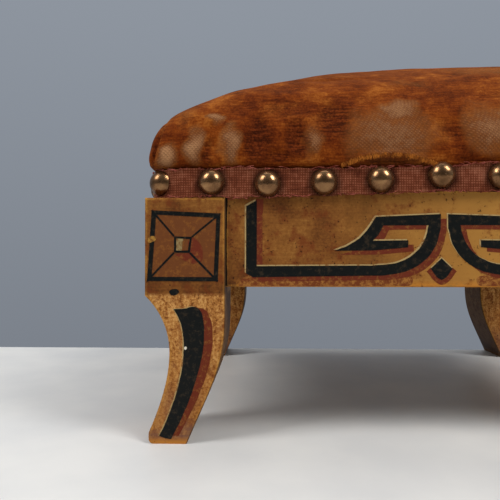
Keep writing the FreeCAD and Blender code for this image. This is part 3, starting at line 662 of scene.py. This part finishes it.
# Front of the seat where the tape rides up and where the velvet is torn, as middle and reach in millimetres
FRONT_DEPTH = 20 * MM
RISE_PLACE = (12, 84)
TORN_PLACE = (38, 46)
# Filling of the cushion: steps, pressure, solver steps and how far a point may move
SWELL_FRAMES, SWELL_PRESSURE, SWELL_QUALITY, SWELL_CAP = 20, 4, 3, 2.5 * MM


def near(value, middle, reach):
    """1 at the middle, falling smoothly to 0 at the reach."""
    share = (value - middle) / reach
    return max(0.0, 1 - share * share) ** 2


def tape_lift(x, y):
    """The tape rides up a little in the middle of the front, over the torn velvet."""
    if y > -half_y + FRONT_DEPTH:
        return 0.0
    return TAPE_RISE * near(x / MM, *RISE_PLACE)


def tape_top_lift(x, y):
    """Its top edge rides up only beside the torn velvet."""
    return tape_lift(x, y) * near(x / MM, *TORN_PLACE)


def swell(cushion, height):
    """Fills the cushion with cloth pressure. What lies below the height is held, and no point moves far."""
    rest = [v.co.copy() for v in cushion.data.vertices]
    held = cushion.vertex_groups.new(name="held")
    held.add([v.index for v in cushion.data.vertices if v.co.z < height], 1.0, "REPLACE")
    cloth = cushion.modifiers.new("Cloth", "CLOTH")
    cloth.settings.quality = SWELL_QUALITY
    cloth.settings.use_pressure = True
    cloth.settings.uniform_pressure_force = SWELL_PRESSURE
    cloth.settings.effector_weights.gravity = 0
    cloth.settings.vertex_group_mass = held.name
    cloth.point_cache.frame_start = 1
    cloth.point_cache.frame_end = SWELL_FRAMES
    for number in range(1, SWELL_FRAMES + 1):
        bpy.context.scene.frame_set(number)
    make_active(cushion)
    bpy.ops.object.modifier_apply(modifier=cloth.name)
    bpy.context.scene.frame_set(1)
    for vertex, start in zip(cushion.data.vertices, rest):
        move = vertex.co - start
        if move.length > SWELL_CAP:
            vertex.co = start + move.normalized() * SWELL_CAP
    cushion.vertex_groups.clear()


def rounded_plan(a, b, reach_x, reach_y, radius):
    """Point on a rounded rectangle for a point of the square from -1 to 1, on its own ring of that square."""
    ring = max(abs(a), abs(b), 1e-9)
    x, y = a / ring * reach_x, b / ring * reach_y
    past = Vector((abs(x) - reach_x + radius, abs(y) - reach_y + radius))
    if past.x > 0 and past.y > 0:
        past = past.normalized() * radius
        x = math.copysign(reach_x - radius + past.x, x)
        y = math.copysign(reach_y - radius + past.y, y)
    return Vector((x, y))


# Cushion, as the CAD cover: height of its widest ring, lean of the crown and the powers of its curve
CUSHION_CELLS = 60
BULGE_HEIGHT = 133 * MM
BULGE_INSET = 0.2 * MM
CROWN_HEIGHT = cover_high.z - 1.5 * MM
CROWN_LEAN = 23 * MM
HEIGHT_POWER, WIDTH_POWER = 2.1, 1.6
CORNER_RADIUS = 8 * MM
CROWN_ROUND, ROUND_POWER = 0.95, 0.7
# Rings below the bulge: height, inset from the frame's face, corner radius
FOOT_RINGS = [(131.0, 0.0, 7.5), (128.6, -0.1, 7.5), (126.2, 0.1, 9.0), (124.4, 2.3, 15.6),
              (124.4, 3.3, 14.6), (128.1, 4.6, 13.5)]
CUSHION_FOOT = FOOT_RINGS[3][0] * MM


def crown_point(a, b):
    """Point of the cushion's crown for a point of the square from -1 to 1."""
    turn = (1 - max(abs(a), abs(b))) * math.pi / 2
    rise = math.sin(turn) ** (2 / HEIGHT_POWER)
    share = max(math.cos(turn), 0.0) ** (2 / WIDTH_POWER)
    reach_x = (half_x - BULGE_INSET) * share
    reach_y = (half_y - BULGE_INSET) * share
    base = CORNER_RADIUS / min(half_x, half_y)
    round_share = base + (CROWN_ROUND - base) * (1 - share) ** ROUND_POWER
    plan = rounded_plan(a, b, reach_x, reach_y, min(reach_x, reach_y) * round_share)
    return Vector((plan.x + CROWN_LEAN * rise * rise, plan.y,
                   BULGE_HEIGHT + (CROWN_HEIGHT - BULGE_HEIGHT) * rise))


# The right half of the seat is stuffed fuller
FULLER_PLACE = Vector((55 * MM, -52 * MM))
FULLER_REACH = 78 * MM
FULLER_RISE = 2.6 * MM
# Torn lip of the velvet at the front: an arch above the tape, in millimetres
LIP_MIDDLE, LIP_REACH = -25.0, 21.0
LIP_FOOT, LIP_TOP = 124.4, 129.2


def lip_height(x):
    """Height of the torn edge of the velvet at a place across the front."""
    return LIP_FOOT + (LIP_TOP - LIP_FOOT) * near(x, LIP_MIDDLE, LIP_REACH) ** 0.5


# Bald patches on the front of the cushion: across, up, half width, half height in millimetres, and depth. The
# faint entry high on the right of the crown is painted sheen
BALD = [
    (-126, 130, 8, 8, 1.7), (-113, 134, 7, 11, 1.5), (-104.5, 147.5, 5, 4.5, 1.25), (-96, 136, 6, 14, 1.1),
    (-59, 136, 6, 12, 0.9), (-24, 139, 32, 20, 0.8), (-20, 152, 15, 7, 0.95), (20, 142, 17, 18, 0.85),
    (47, 137, 10, 12, 0.8), (78, 136, 16, 11, 0.9), (108, 139, 8, 13, 0.8),
    (36, 182, 44, 12, 0.36), (-118, 150, 12, 9, 0.3), (-12, 168, 24, 6, 0.25),
]
# Crushed, soiled pile, and painted shade: in the folds that this table sinks and in its wide entries high on
# the left of the crown
SOILED_AND_SHADED = [
    (-84, 140, 8, 21, 1.3), (-66, 139, 8, 14, 1.3), (-75, 129, 13, 5, 0.9), (-105, 131, 5, 10, 0.9),
    (-50, 148, 14, 17, 1.1), (4, 141, 11, 9, 0.8), (-90, 155, 22, 10, 0.45), (62, 140, 10, 18, 1.0),
    (94, 138, 8, 15, 1.0), (-45, 158, 30, 7, 0.45), (-118, 146, 6, 7, 0.6), (34, 160, 30, 7, 0.4),
    (-70, 166, 34, 6, 0.35), (-50, 176, 36, 9, 0.5), (-70, 153, 26, 10, 0.7),
]


def spread(patches, x, z):
    """Deepest of the patches at a point."""
    return max(near(x, a, w) * near(z, b, h) * depth for a, b, w, h, depth in patches)


# Two pleats at each corner, in millimetres: place and half width from the side and from the front, depth,
# slant, and where they fade out along the seat and in height
PLEAT_X, PLEAT_Y = (4.2, 1.6), (9.0, 1.9)
PLEAT_DEPTH, PLEAT_SLANT = 1.7, 0.2
PLEAT_LENGTH, PLEAT_HEIGHT = 34, (134, 26)


def corner_pleat(point):
    """Depth in millimetres of the two pleats folded in at each corner."""
    gap_x, gap_y = (half_x - abs(point.x)) / MM, (half_y - abs(point.y)) / MM
    slant = (point.z - BULGE_HEIGHT) / MM * PLEAT_SLANT
    fade = near(max(gap_x, gap_y), 0, PLEAT_LENGTH) * near(point.z / MM, *PLEAT_HEIGHT)
    fold = near(gap_x, PLEAT_X[0] + slant, PLEAT_X[1]) + near(gap_y, PLEAT_Y[0] + slant, PLEAT_Y[1])
    return PLEAT_DEPTH * fade * fold


def cushion_form():
    """Plump cushion, closed underneath, before its lumps."""
    cushion = new_grid(CUSHION_CELLS, CUSHION_CELLS, 2)
    make_active(cushion)
    # Rings hang from the edge of the grid, one unit apart
    bpy.ops.object.mode_set(mode="EDIT")
    bpy.ops.mesh.select_mode(type="EDGE")
    bpy.ops.mesh.select_all(action="SELECT")
    bpy.ops.mesh.region_to_loop()
    for _ in FOOT_RINGS:
        bpy.ops.mesh.extrude_edges_move(TRANSFORM_OT_translate={"value": (0, 0, -1)})
    bpy.ops.object.mode_set(mode="OBJECT")
    for vertex in cushion.data.vertices:
        a, b, ring = vertex.co.x, vertex.co.y, round(-vertex.co.z)
        if ring == 0:
            vertex.co = crown_point(a, b)
            continue
        height, inset, radius = FOOT_RINGS[ring - 1]
        plan = rounded_plan(a, b, half_x - inset * MM, half_y - inset * MM, radius * MM)
        vertex.co = (plan.x, plan.y, height * MM)
    swell(cushion, BULGE_HEIGHT - 1 * MM)
    smooth = cushion.modifiers.new("Smooth", "SUBSURF")
    smooth.levels = smooth.render_levels = 2
    apply_modifiers(cushion)
    # Closed underneath, where it lies on the hessian
    bpy.ops.object.mode_set(mode="EDIT")
    bpy.ops.mesh.select_all(action="SELECT")
    bpy.ops.mesh.region_to_loop()
    bpy.ops.mesh.edge_face_add()
    bpy.ops.mesh.select_all(action="SELECT")
    bpy.ops.mesh.normals_make_consistent(inside=False)
    bpy.ops.object.mode_set(mode="OBJECT")
    return cushion


# Lumps of the stuffing, as size and rise in millimetres. They begin above the foot and are full a little
# higher, as shares of the cushion's height
LUMPS = ((34, 1.0), (13, 0.4))
LUMPS_BEGIN, LUMPS_FULL = 0.03, 1 / 8
# Gathers along the front: the folds sink where the pile is crushed, and the bumps between are rubbed bald
GATHER_DEPTH, BALD_RISE, SOILED_SINK = 30 * MM, 0.9, 1.8
# Behind the tape the foot is tucked in; the torn lip is hollow below its edge and swells above it, as height
# above the edge and reach in millimetres
TUCK_DEPTH, TUCK, TUCK_REACH = 12 * MM, 3.0 * MM, 6 * MM
LIP_HOLLOW, LIP_HOLLOW_PLACE = 1.6, (-3.2, 3.4)
LIP_SWELL, LIP_SWELL_PLACE = 0.8, (1.0, 2.4)


def add_lumps(cushion):
    """Lumps, gathers, the fuller right half, the corner pleats and the torn lip."""
    for vertex, normal in zip(cushion.data.vertices, [v.normal.copy() for v in cushion.data.vertices]):
        point = vertex.co
        height = (point.z - CUSHION_FOOT) / (CROWN_HEIGHT - CUSHION_FOOT)
        if height < LUMPS_BEGIN or normal.z < -0.5:
            continue
        lump = sum(noise.noise(point / (size * MM)) * rise for size, rise in LUMPS)
        if point.y < -half_y + GATHER_DEPTH:
            x, z = point.x / MM, point.z / MM
            lump += BALD_RISE * spread(BALD, x, z) - SOILED_SINK * spread(SOILED_AND_SHADED, x, z)
        fuller = FULLER_RISE * near((point.xy - FULLER_PLACE).length, 0, FULLER_REACH)
        lump = lump * min(1.0, height / LUMPS_FULL) - corner_pleat(point)
        vertex.co += normal * (lump * MM + fuller * height)
        if point.y < -half_y + TUCK_DEPTH:
            tucked = tape_top_lift(point.x, point.y) / TAPE_RISE
            vertex.co.y += TUCK * tucked * near(point.z, CUSHION_FOOT, TUCK_REACH)
            above = point.z / MM - lip_height(point.x / MM)
            across = near(point.x / MM, LIP_MIDDLE, LIP_REACH)
            hollow = LIP_HOLLOW * across * near(above, *LIP_HOLLOW_PLACE)
            vertex.co.y += (hollow - LIP_SWELL * across * near(above, *LIP_SWELL_PLACE)) * MM


# The patches lie on the front, before this depth, and their edges wander, all in millimetres. Elsewhere the
# wear lies round the foot, at this height and reach
PATCH_BACK, PATCH_WANDER = -20, 4
FOOT_WEAR = (138, 26)


def mark_wear(cushion):
    """Attributes that say where the pile is bald, and where it is soiled and where shade is painted on it."""
    worn = cushion.data.attributes.new("worn", "FLOAT", "POINT")
    soiled_and_shaded = cushion.data.attributes.new("soiled_and_shaded", "FLOAT", "POINT")
    for index, vertex in enumerate(cushion.data.vertices):
        x, y, z = vertex.co.x / MM, vertex.co.y / MM, vertex.co.z / MM
        here = Vector((x, y, z))
        if y < PATCH_BACK:
            x += noise.noise(here / 9) * PATCH_WANDER
            z += noise.noise((here + Vector((50, 0, 0))) / 7) * PATCH_WANDER
            rub = spread(BALD, x, z)
            dirt_and_shade = spread(SOILED_AND_SHADED, x, z)
            # The hollow below the torn lip gets painted shadow
            under = here.z - lip_height(here.x)
            at_front = here.y < (-half_y + TUCK_DEPTH) / MM
            if at_front and under < 0.4 and abs(here.x - LIP_MIDDLE) < LIP_REACH:
                dirt_and_shade = 0.6
        else:
            foot_share = near(z, *FOOT_WEAR)
            rub = foot_share * max(0.0, noise.noise(here / 22) * 1.9)
            dirt_and_shade = foot_share * max(0.0, noise.noise(Vector((y, z, x)) / 19) * 1.8)
        worn.data[index].value = rub
        # The folds of the corner pleats get painted shade
        soiled_and_shaded.data[index].value = max(dirt_and_shade, 0.5 * corner_pleat(vertex.co))


def velvet_cushion():
    """Stuffed seat under its velvet, one padded piece for all of its layers."""
    cushion = cushion_form()
    add_lumps(cushion)
    mark_wear(cushion)
    settle(cushion, "velvet_cushion", velvet, 80)
    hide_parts("velvet_cover", "calico_lining", "cotton_wadding", "horsehair_stuffing")


velvet_cushion()


# Tape and threads round the seat

def edge_length(inset, corner):
    """Way round the seat's edge."""
    return 4 * (half_x - inset - corner) + 4 * (half_y - inset - corner) + 2 * math.pi * corner


def edge_point(along, inset, corner):
    """Point and outward direction on the seat's edge, from the middle of the back and anticlockwise."""
    run_x = half_x - inset - corner
    run_y = half_y - inset - corner
    bend = corner * math.pi / 2
    along = along % edge_length(inset, corner)
    start = Vector((0, run_y + corner))
    way = Vector((-1, 0))
    sides = [run_x, 2 * run_y, 2 * run_x, 2 * run_y, run_x]
    middles = [(-run_x, run_y), (-run_x, -run_y), (run_x, -run_y), (run_x, run_y), (0, 0)]
    for length, middle in zip(sides, middles):
        out = Vector((way.y, -way.x))
        if along <= length:
            break
        along -= length
        centre = Vector(middle)
        if along <= bend:
            angle = along / corner
            out = Vector((out.x * math.cos(angle) - out.y * math.sin(angle),
                          out.x * math.sin(angle) + out.y * math.cos(angle)))
            return centre + out * corner, out
        along -= bend
        start = centre + way * corner
        way = Vector((-way.y, way.x))
    return start + way * along, out


def nail_crowns():
    """Middle of each dome nail's crown, read from the frame."""
    crowns = []
    for side, way in (("front", (0, -1)), ("rear", (0, 1)), ("left", (-1, 0)), ("right", (1, 0))):
        points = [v.co for v in nodes["dome_nails_" + side].data.vertices]
        reach = max(p.x * way[0] + p.y * way[1] for p in points)
        tips = [p for p in points if p.x * way[0] + p.y * way[1] > reach - 0.5 * MM]
        tips.sort(key=lambda p: p.x * abs(way[1]) + p.y * abs(way[0]))
        group = []
        for tip in tips + [None]:
            if group and (tip is None or (tip - group[-1]).length > 8 * MM):
                crowns.append(sum(group, Vector()) / len(group))
                group = []
            if tip is not None:
                group.append(tip)
    return crowns


def ring_strip(inset, corner, steps, rows, shape):
    """Strip of cloth round the seat, closed at the back. shape gives (height, outward, grime) for a point
    along, across from 0 at the foot to 1 at the top, and the point on the edge; grime is the share of painted
    shade."""
    total = edge_length(inset, corner)
    strip = new_grid(steps, rows, 1)
    layout = strip.data.uv_layers.active or strip.data.uv_layers.new(name="flat")
    soiled_and_shaded = strip.data.attributes.new("soiled_and_shaded", "FLOAT", "POINT")
    places = {}
    for vertex in strip.data.vertices:
        along = (vertex.co.x + 0.5) * total
        across = vertex.co.y + 0.5
        point, out = edge_point(along, inset, corner)
        height, proud, grime = shape(along, across, point)
        soiled_and_shaded.data[vertex.index].value = grime
        places[vertex.index] = (along, height)
        vertex.co = (point.x + out.x * proud, point.y + out.y * proud, height)
    for loop, spot in zip(strip.data.loops, layout.data):
        spot.uv = places[loop.vertex_index]
    merge_points(strip, 0.01 * MM)
    bpy.ops.object.mode_set(mode="OBJECT")
    return strip


# Ends of the tape's threads stand out by these heights over 11 mm and a third of it; the tape sags over 60 mm
FRAY_LENGTH, FRAY_FINER, FRAY_RISES = 11 * MM, 3.1, (0.7, 0.4)
SAG_LENGTH, SAG_RISE = 60 * MM, 0.5


def tape_height(along, edge, point):
    """Height of the tape at a place along it, with edge from -1 at its foot to 1 at its top."""
    spot = Vector((along / FRAY_LENGTH, 3.7, 0.0))
    fray = noise.noise(spot) * FRAY_RISES[0] + noise.noise(spot * FRAY_FINER) * FRAY_RISES[1]
    sag = noise.noise(Vector((along / SAG_LENGTH, 9.1, 0))) * SAG_RISE
    ragged = (sag + fray * abs(edge) ** 3 * edge) * MM
    top_share = (edge + 1) / 2
    lift = (1 - top_share) * tape_lift(point.x, point.y) + top_share * tape_top_lift(point.x, point.y)
    return TAPE_MIDDLE + lift + edge * TAPE_WIDTH / 2 + ragged


# Tape: rows of thread, pitch of its ribs, and how far round a nail's crown it is pressed in, with how deep
TAPE_ROWS, RIB_PITCH = 18, 1.5 * MM
PRESS_PLACE, PRESS_DEPTH = (6, 4.5), 0.75


def woven_tape():
    """Tape round the seat: thick selvedges, ribs, and a hollow round each nail, darkened with painted shade.
    """
    crowns = nail_crowns()

    def shape(along, across, point):
        edge = 2 * across - 1
        height = tape_height(along, edge, point)
        selvedge = 0.45 * near(abs(edge), 0.94, 0.2)
        rib = 0.1 * math.sin(along / RIB_PITCH * 2 * math.pi) + 0.07 * math.sin(across * TAPE_ROWS * math.pi)
        here = Vector((point.x, point.y, height))
        pressed = max(near((here - crown).length / MM, *PRESS_PLACE) for crown in crowns)
        slack = noise.noise(Vector((along / (17 * MM), across * 1.6, 5.0))) * 0.35
        # The hollow round each nail is darkened: painted shade
        return height, (selvedge + rib + slack + 0.3 - PRESS_DEPTH * pressed) * MM, 0.9 * pressed

    strip = ring_strip(TAPE_INSET, TAPE_CORNER, 1340, TAPE_ROWS, shape)
    thicken(strip, 0.9 * MM, -1)
    settle(strip, "woven_tape_strip", tape_cloth, 60)
    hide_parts("woven_tape")


def velvet_skirt():
    """Foot of the velvet, drawn down behind the tape."""

    def shape(along, across, point):
        wave = noise.noise(Vector((along / (14 * MM), across * 2, 1.3))) * 0.25
        height = tape_low.z + (2.5 + 11.5 * across) * MM
        return height, wave * MM + 0.25 * MM * across, 0.0

    strip = ring_strip(TAPE_INSET + 1.7 * MM, TAPE_CORNER - 1 * MM, 500, 8, shape)
    thicken(strip, 0.8 * MM, -1)
    settle(strip, "velvet_skirt", velvet_foot, 60)


def loose_threads(name, material, count, seed, place, radius):
    """Short loose yarns; place gives the points of one from a seeded generator."""
    chance = random.Random(seed)
    curve = bpy.data.curves.new(name, "CURVE")
    curve.dimensions = "3D"
    curve.bevel_depth = radius
    curve.bevel_resolution = 0
    curve.use_fill_caps = True
    for _ in range(count):
        points = place(chance)
        spline = curve.splines.new("NURBS")
        spline.points.add(len(points) - 1)
        for point, spot in zip(spline.points, points):
            point.co = (*spot, 1.0)
        spline.order_u = 3
        spline.use_endpoint_u = True
        spline.resolution_u = 2
    settle(as_mesh(name, curve), name, material, 80)


def tape_fray(chance):
    """Yarn end that stands out of the top or foot of the tape."""
    along = chance.uniform(0, edge_length(TAPE_INSET, TAPE_CORNER))
    point, out = edge_point(along, TAPE_INSET, TAPE_CORNER)
    way = Vector((-out.y, out.x))
    up = 1 if chance.random() < 0.6 else -1
    height = tape_height(along, up, point) - up * chance.uniform(0.1, 1.0) * MM
    long = chance.uniform(0.8, 2.4) * MM
    lean = chance.uniform(-2.4, 2.4)
    points = []
    for step in range(4):
        share = step / 3
        side = way * (lean * long * share)
        proud = (0.6 + 0.5 * math.sin(share * math.pi)) * MM
        points.append((point.x + out.x * proud + side.x, point.y + out.y * proud + side.y,
                       height + up * long * share * (1 - 0.55 * share)))
    return points


def lip_fringe(chance):
    """Golden pile end that hangs from the torn lip of the velvet."""
    x = LIP_MIDDLE + chance.uniform(-1.02, 1.02) * LIP_REACH
    top = lip_height(x) + chance.uniform(0.8, 2.2)
    long = chance.uniform(0.9, 2.0)
    lean = chance.uniform(-0.5, 0.5)
    face = -half_y / MM
    return [(x * MM, (face - 0.3) * MM, top * MM),
            ((x + lean * 0.4) * MM, (face - 1.2) * MM, (top - long * 0.4) * MM),
            ((x + lean) * MM, (face - 0.9) * MM, (top - long) * MM)]


def sheet_strip(name, low, high, height, material, replaced, steps, thickness, corner=0.0):
    """Flat strip of cloth on the frame. height gives its middle at a point, corner rounds its corners."""
    strip = new_grid(*steps, 2)
    layout = strip.data.uv_layers.active or strip.data.uv_layers.new(name="flat")
    reach = (high - low) / 2
    middle = (high + low) / 2
    for vertex in strip.data.vertices:
        a, b = vertex.co.x, vertex.co.y
        ring = max(abs(a), abs(b))
        plan = rounded_plan(a, b, reach.x, reach.y, corner) * ring
        x, y = middle.x + plan.x, middle.y + plan.y
        vertex.co = (x, y, height(x, y))
    for loop, spot in zip(strip.data.loops, layout.data):
        spot.uv = strip.data.vertices[loop.vertex_index].co.xy
    thicken(strip, thickness, 0)
    settle(strip, name, material, 60)
    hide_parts(replaced)


woven_tape()
velvet_skirt()
loose_threads("tape_threads", tape_yarn, 1500, 11, tape_fray, 0.14 * MM)
loose_threads("velvet_fringe", velvet_yarn, 620, 5, lip_fringe, 0.08 * MM)

# Hessian over the webbing, not quite flat
hessian_middle = (hessian_low.z + hessian_high.z) / 2


def hessian_height(x, y):
    """Height of the hessian's middle."""
    return hessian_middle + noise.noise(Vector((x, y, 0)) / (25 * MM)) * 0.1 * MM


sheet_strip("hessian_cloth", hessian_low, hessian_high, hessian_height, hessian_cloth, "hessian",
            (60, 56), 0.7 * MM, 13 * MM)

# Webbing, over and under in turn
WEB_BASE = rail_high.z + 0.5 * MM
WEB_STEP = 1.0 * MM
WEB_RAMP = 6 * MM
web_boxes = {kind: [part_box(f"webbing_{kind}_{i}") for i in (1, 2, 3)] for kind in ("long", "short")}


def web_height(kind, row):
    """Height of a strip's middle: it climbs over every other crossing strip."""
    crossed = web_boxes["short" if kind == "long" else "long"]

    def height(x, y):
        place = x if kind == "long" else y
        lift = 0.0
        for column, (low, high) in enumerate(crossed):
            a, b = (low.x, high.x) if kind == "long" else (low.y, high.y)
            over = (row + column) % 2 == (0 if kind == "long" else 1)
            if over:
                gap = max(a - place, place - b, 0.0)
                share = max(0.0, 1 - gap / WEB_RAMP)
                lift = max(lift, share * share * (3 - 2 * share))
        return WEB_BASE + WEB_STEP * lift
    return height


for kind, rails in (("long", ["rail_left", "rail_right"]), ("short", ["rail_front", "rail_rear"])):
    for number in (1, 2, 3):
        low, high = web_boxes[kind][number - 1]
        steps = (127, 19) if kind == "long" else (19, 118)
        sheet_strip(f"jute_{kind}_{number}", low, high, web_height(kind, number), webbing_cloth,
                    f"webbing_{kind}_{number}", steps, 0.9 * MM)

# Stage: pale table top with its far edge just behind the stool, soft studio light
stone, stone_tree, stone_shader, stone_place = start_material("honed_pale_stone")
cloudy = add(stone_tree, "TexNoise", {"Vector": stone_place, "Scale": 1 / 60, "Detail": 5.0})
stone_colour = add(stone_tree, "ValToRGB", {"Fac": cloudy}, stops=[(0.35, "#D0D0CF"), (0.65, "#DCDBD8")])
connect(stone_tree, stone_shader, {"Base Color": stone_colour, "Roughness": 0.45})

TABLE_NEAR, TABLE_FAR, TABLE_HALF, TABLE_DEPTH = -1.2, 0.1285, 1.6, 0.03
bpy.ops.object.select_all(action="DESELECT")
bpy.ops.mesh.primitive_cube_add(size=1, location=(0, (TABLE_NEAR + TABLE_FAR) / 2, floor_z - TABLE_DEPTH / 2))
table = bpy.context.view_layer.objects.active
table.scale = (2 * TABLE_HALF, TABLE_FAR - TABLE_NEAR, TABLE_DEPTH)
table.name = "table"
make_active(table)
bpy.ops.object.transform_apply(location=True, rotation=True, scale=True)
rim = table.modifiers.new("Rim", "BEVEL")
rim.width = 1.5 * MM
rim.segments = 3
apply_modifiers(table)
table.data.materials.append(stone)

scene = bpy.context.scene
scene.view_settings.view_transform = "Standard"
world = bpy.data.worlds.new("studio")
scene.world = world
world.use_nodes = True
air = world.node_tree
air.nodes.clear()
light_path = add(air, "LightPath")
clear = add(air, "Math",
            {0: light_path.outputs["Is Glossy Ray"], 1: light_path.outputs["Is Transmission Ray"]},
            operation="MAXIMUM")
seen = add(air, "Math", {0: light_path.outputs["Is Camera Ray"], 1: clear}, operation="MAXIMUM")
soft = add(air, "Background", {"Color": "#E4E8EE", "Strength": 0.45})
view_way = add(air, "TexCoord")
way_axes = add(air, "SeparateXYZ", {"Vector": view_way.outputs["Generated"]})
height_share = add(air, "MapRange", {"Value": way_axes.outputs["Z"], "From Min": -0.2, "From Max": 0.42})
paper = add(air, "ValToRGB", {"Fac": height_share}, stops=[(0.0, "#7A8089"), (1.0, "#8E959F")])
# The room is darker on the side of the camera, as the dome nails show
near_share = add(air, "MapRange", {"Value": way_axes.outputs["Y"], "From Min": -0.1, "From Max": -0.8})
room = add(air, "Mix", {FACTOR: near_share, COLOUR_A: paper, COLOUR_B: "#3C3F44"}, data_type="RGBA")
wall = add(air, "Background", {"Color": room, "Strength": 1.0})
either = add(air, "MixShader", {0: seen, 1: soft, 2: wall})
add(air, "OutputWorld", {"Surface": either})


def softbox(name, place, aim, size, power, tint):
    """Rectangular studio lamp turned to what it lights."""
    lamp = bpy.data.lights.new(name, "AREA")
    lamp.shape = "RECTANGLE"
    lamp.size, lamp.size_y = size
    lamp.energy = power
    lamp.color = linear(tint)[:3]
    holder = bpy.data.objects.new(name, lamp)
    scene.collection.objects.link(holder)
    holder.location = place
    holder.rotation_euler = (Vector(aim) - Vector(place)).to_track_quat("-Z", "Y").to_euler()


seat_middle = (0.0, 0.0, 0.12)
softbox("key_left", (-1.0, -0.62, 1.2), seat_middle, (0.5, 0.8), 12.8, "#FFFEFC")
softbox("key_right", (0.9, -0.72, 1.3), seat_middle, (0.5, 0.8), 17.5, "#FFFEFC")
softbox("top", (0.0, 0.3, 1.2), seat_middle, (0.8, 0.6), 3.0, "#FFFFFF")

lens = bpy.data.cameras.new("photo_view")
lens.sensor_width = CAMERA_SENSOR
lens.lens = CAMERA_LENS
lens.clip_start = 0.01
camera = bpy.data.objects.new("photo_view", lens)
scene.collection.objects.link(camera)
camera.location = CAMERA_PLACE
camera.rotation_euler = [math.radians(angle) for angle in CAMERA_TURN]
scene.camera = camera

bpy.context.view_layer.update()
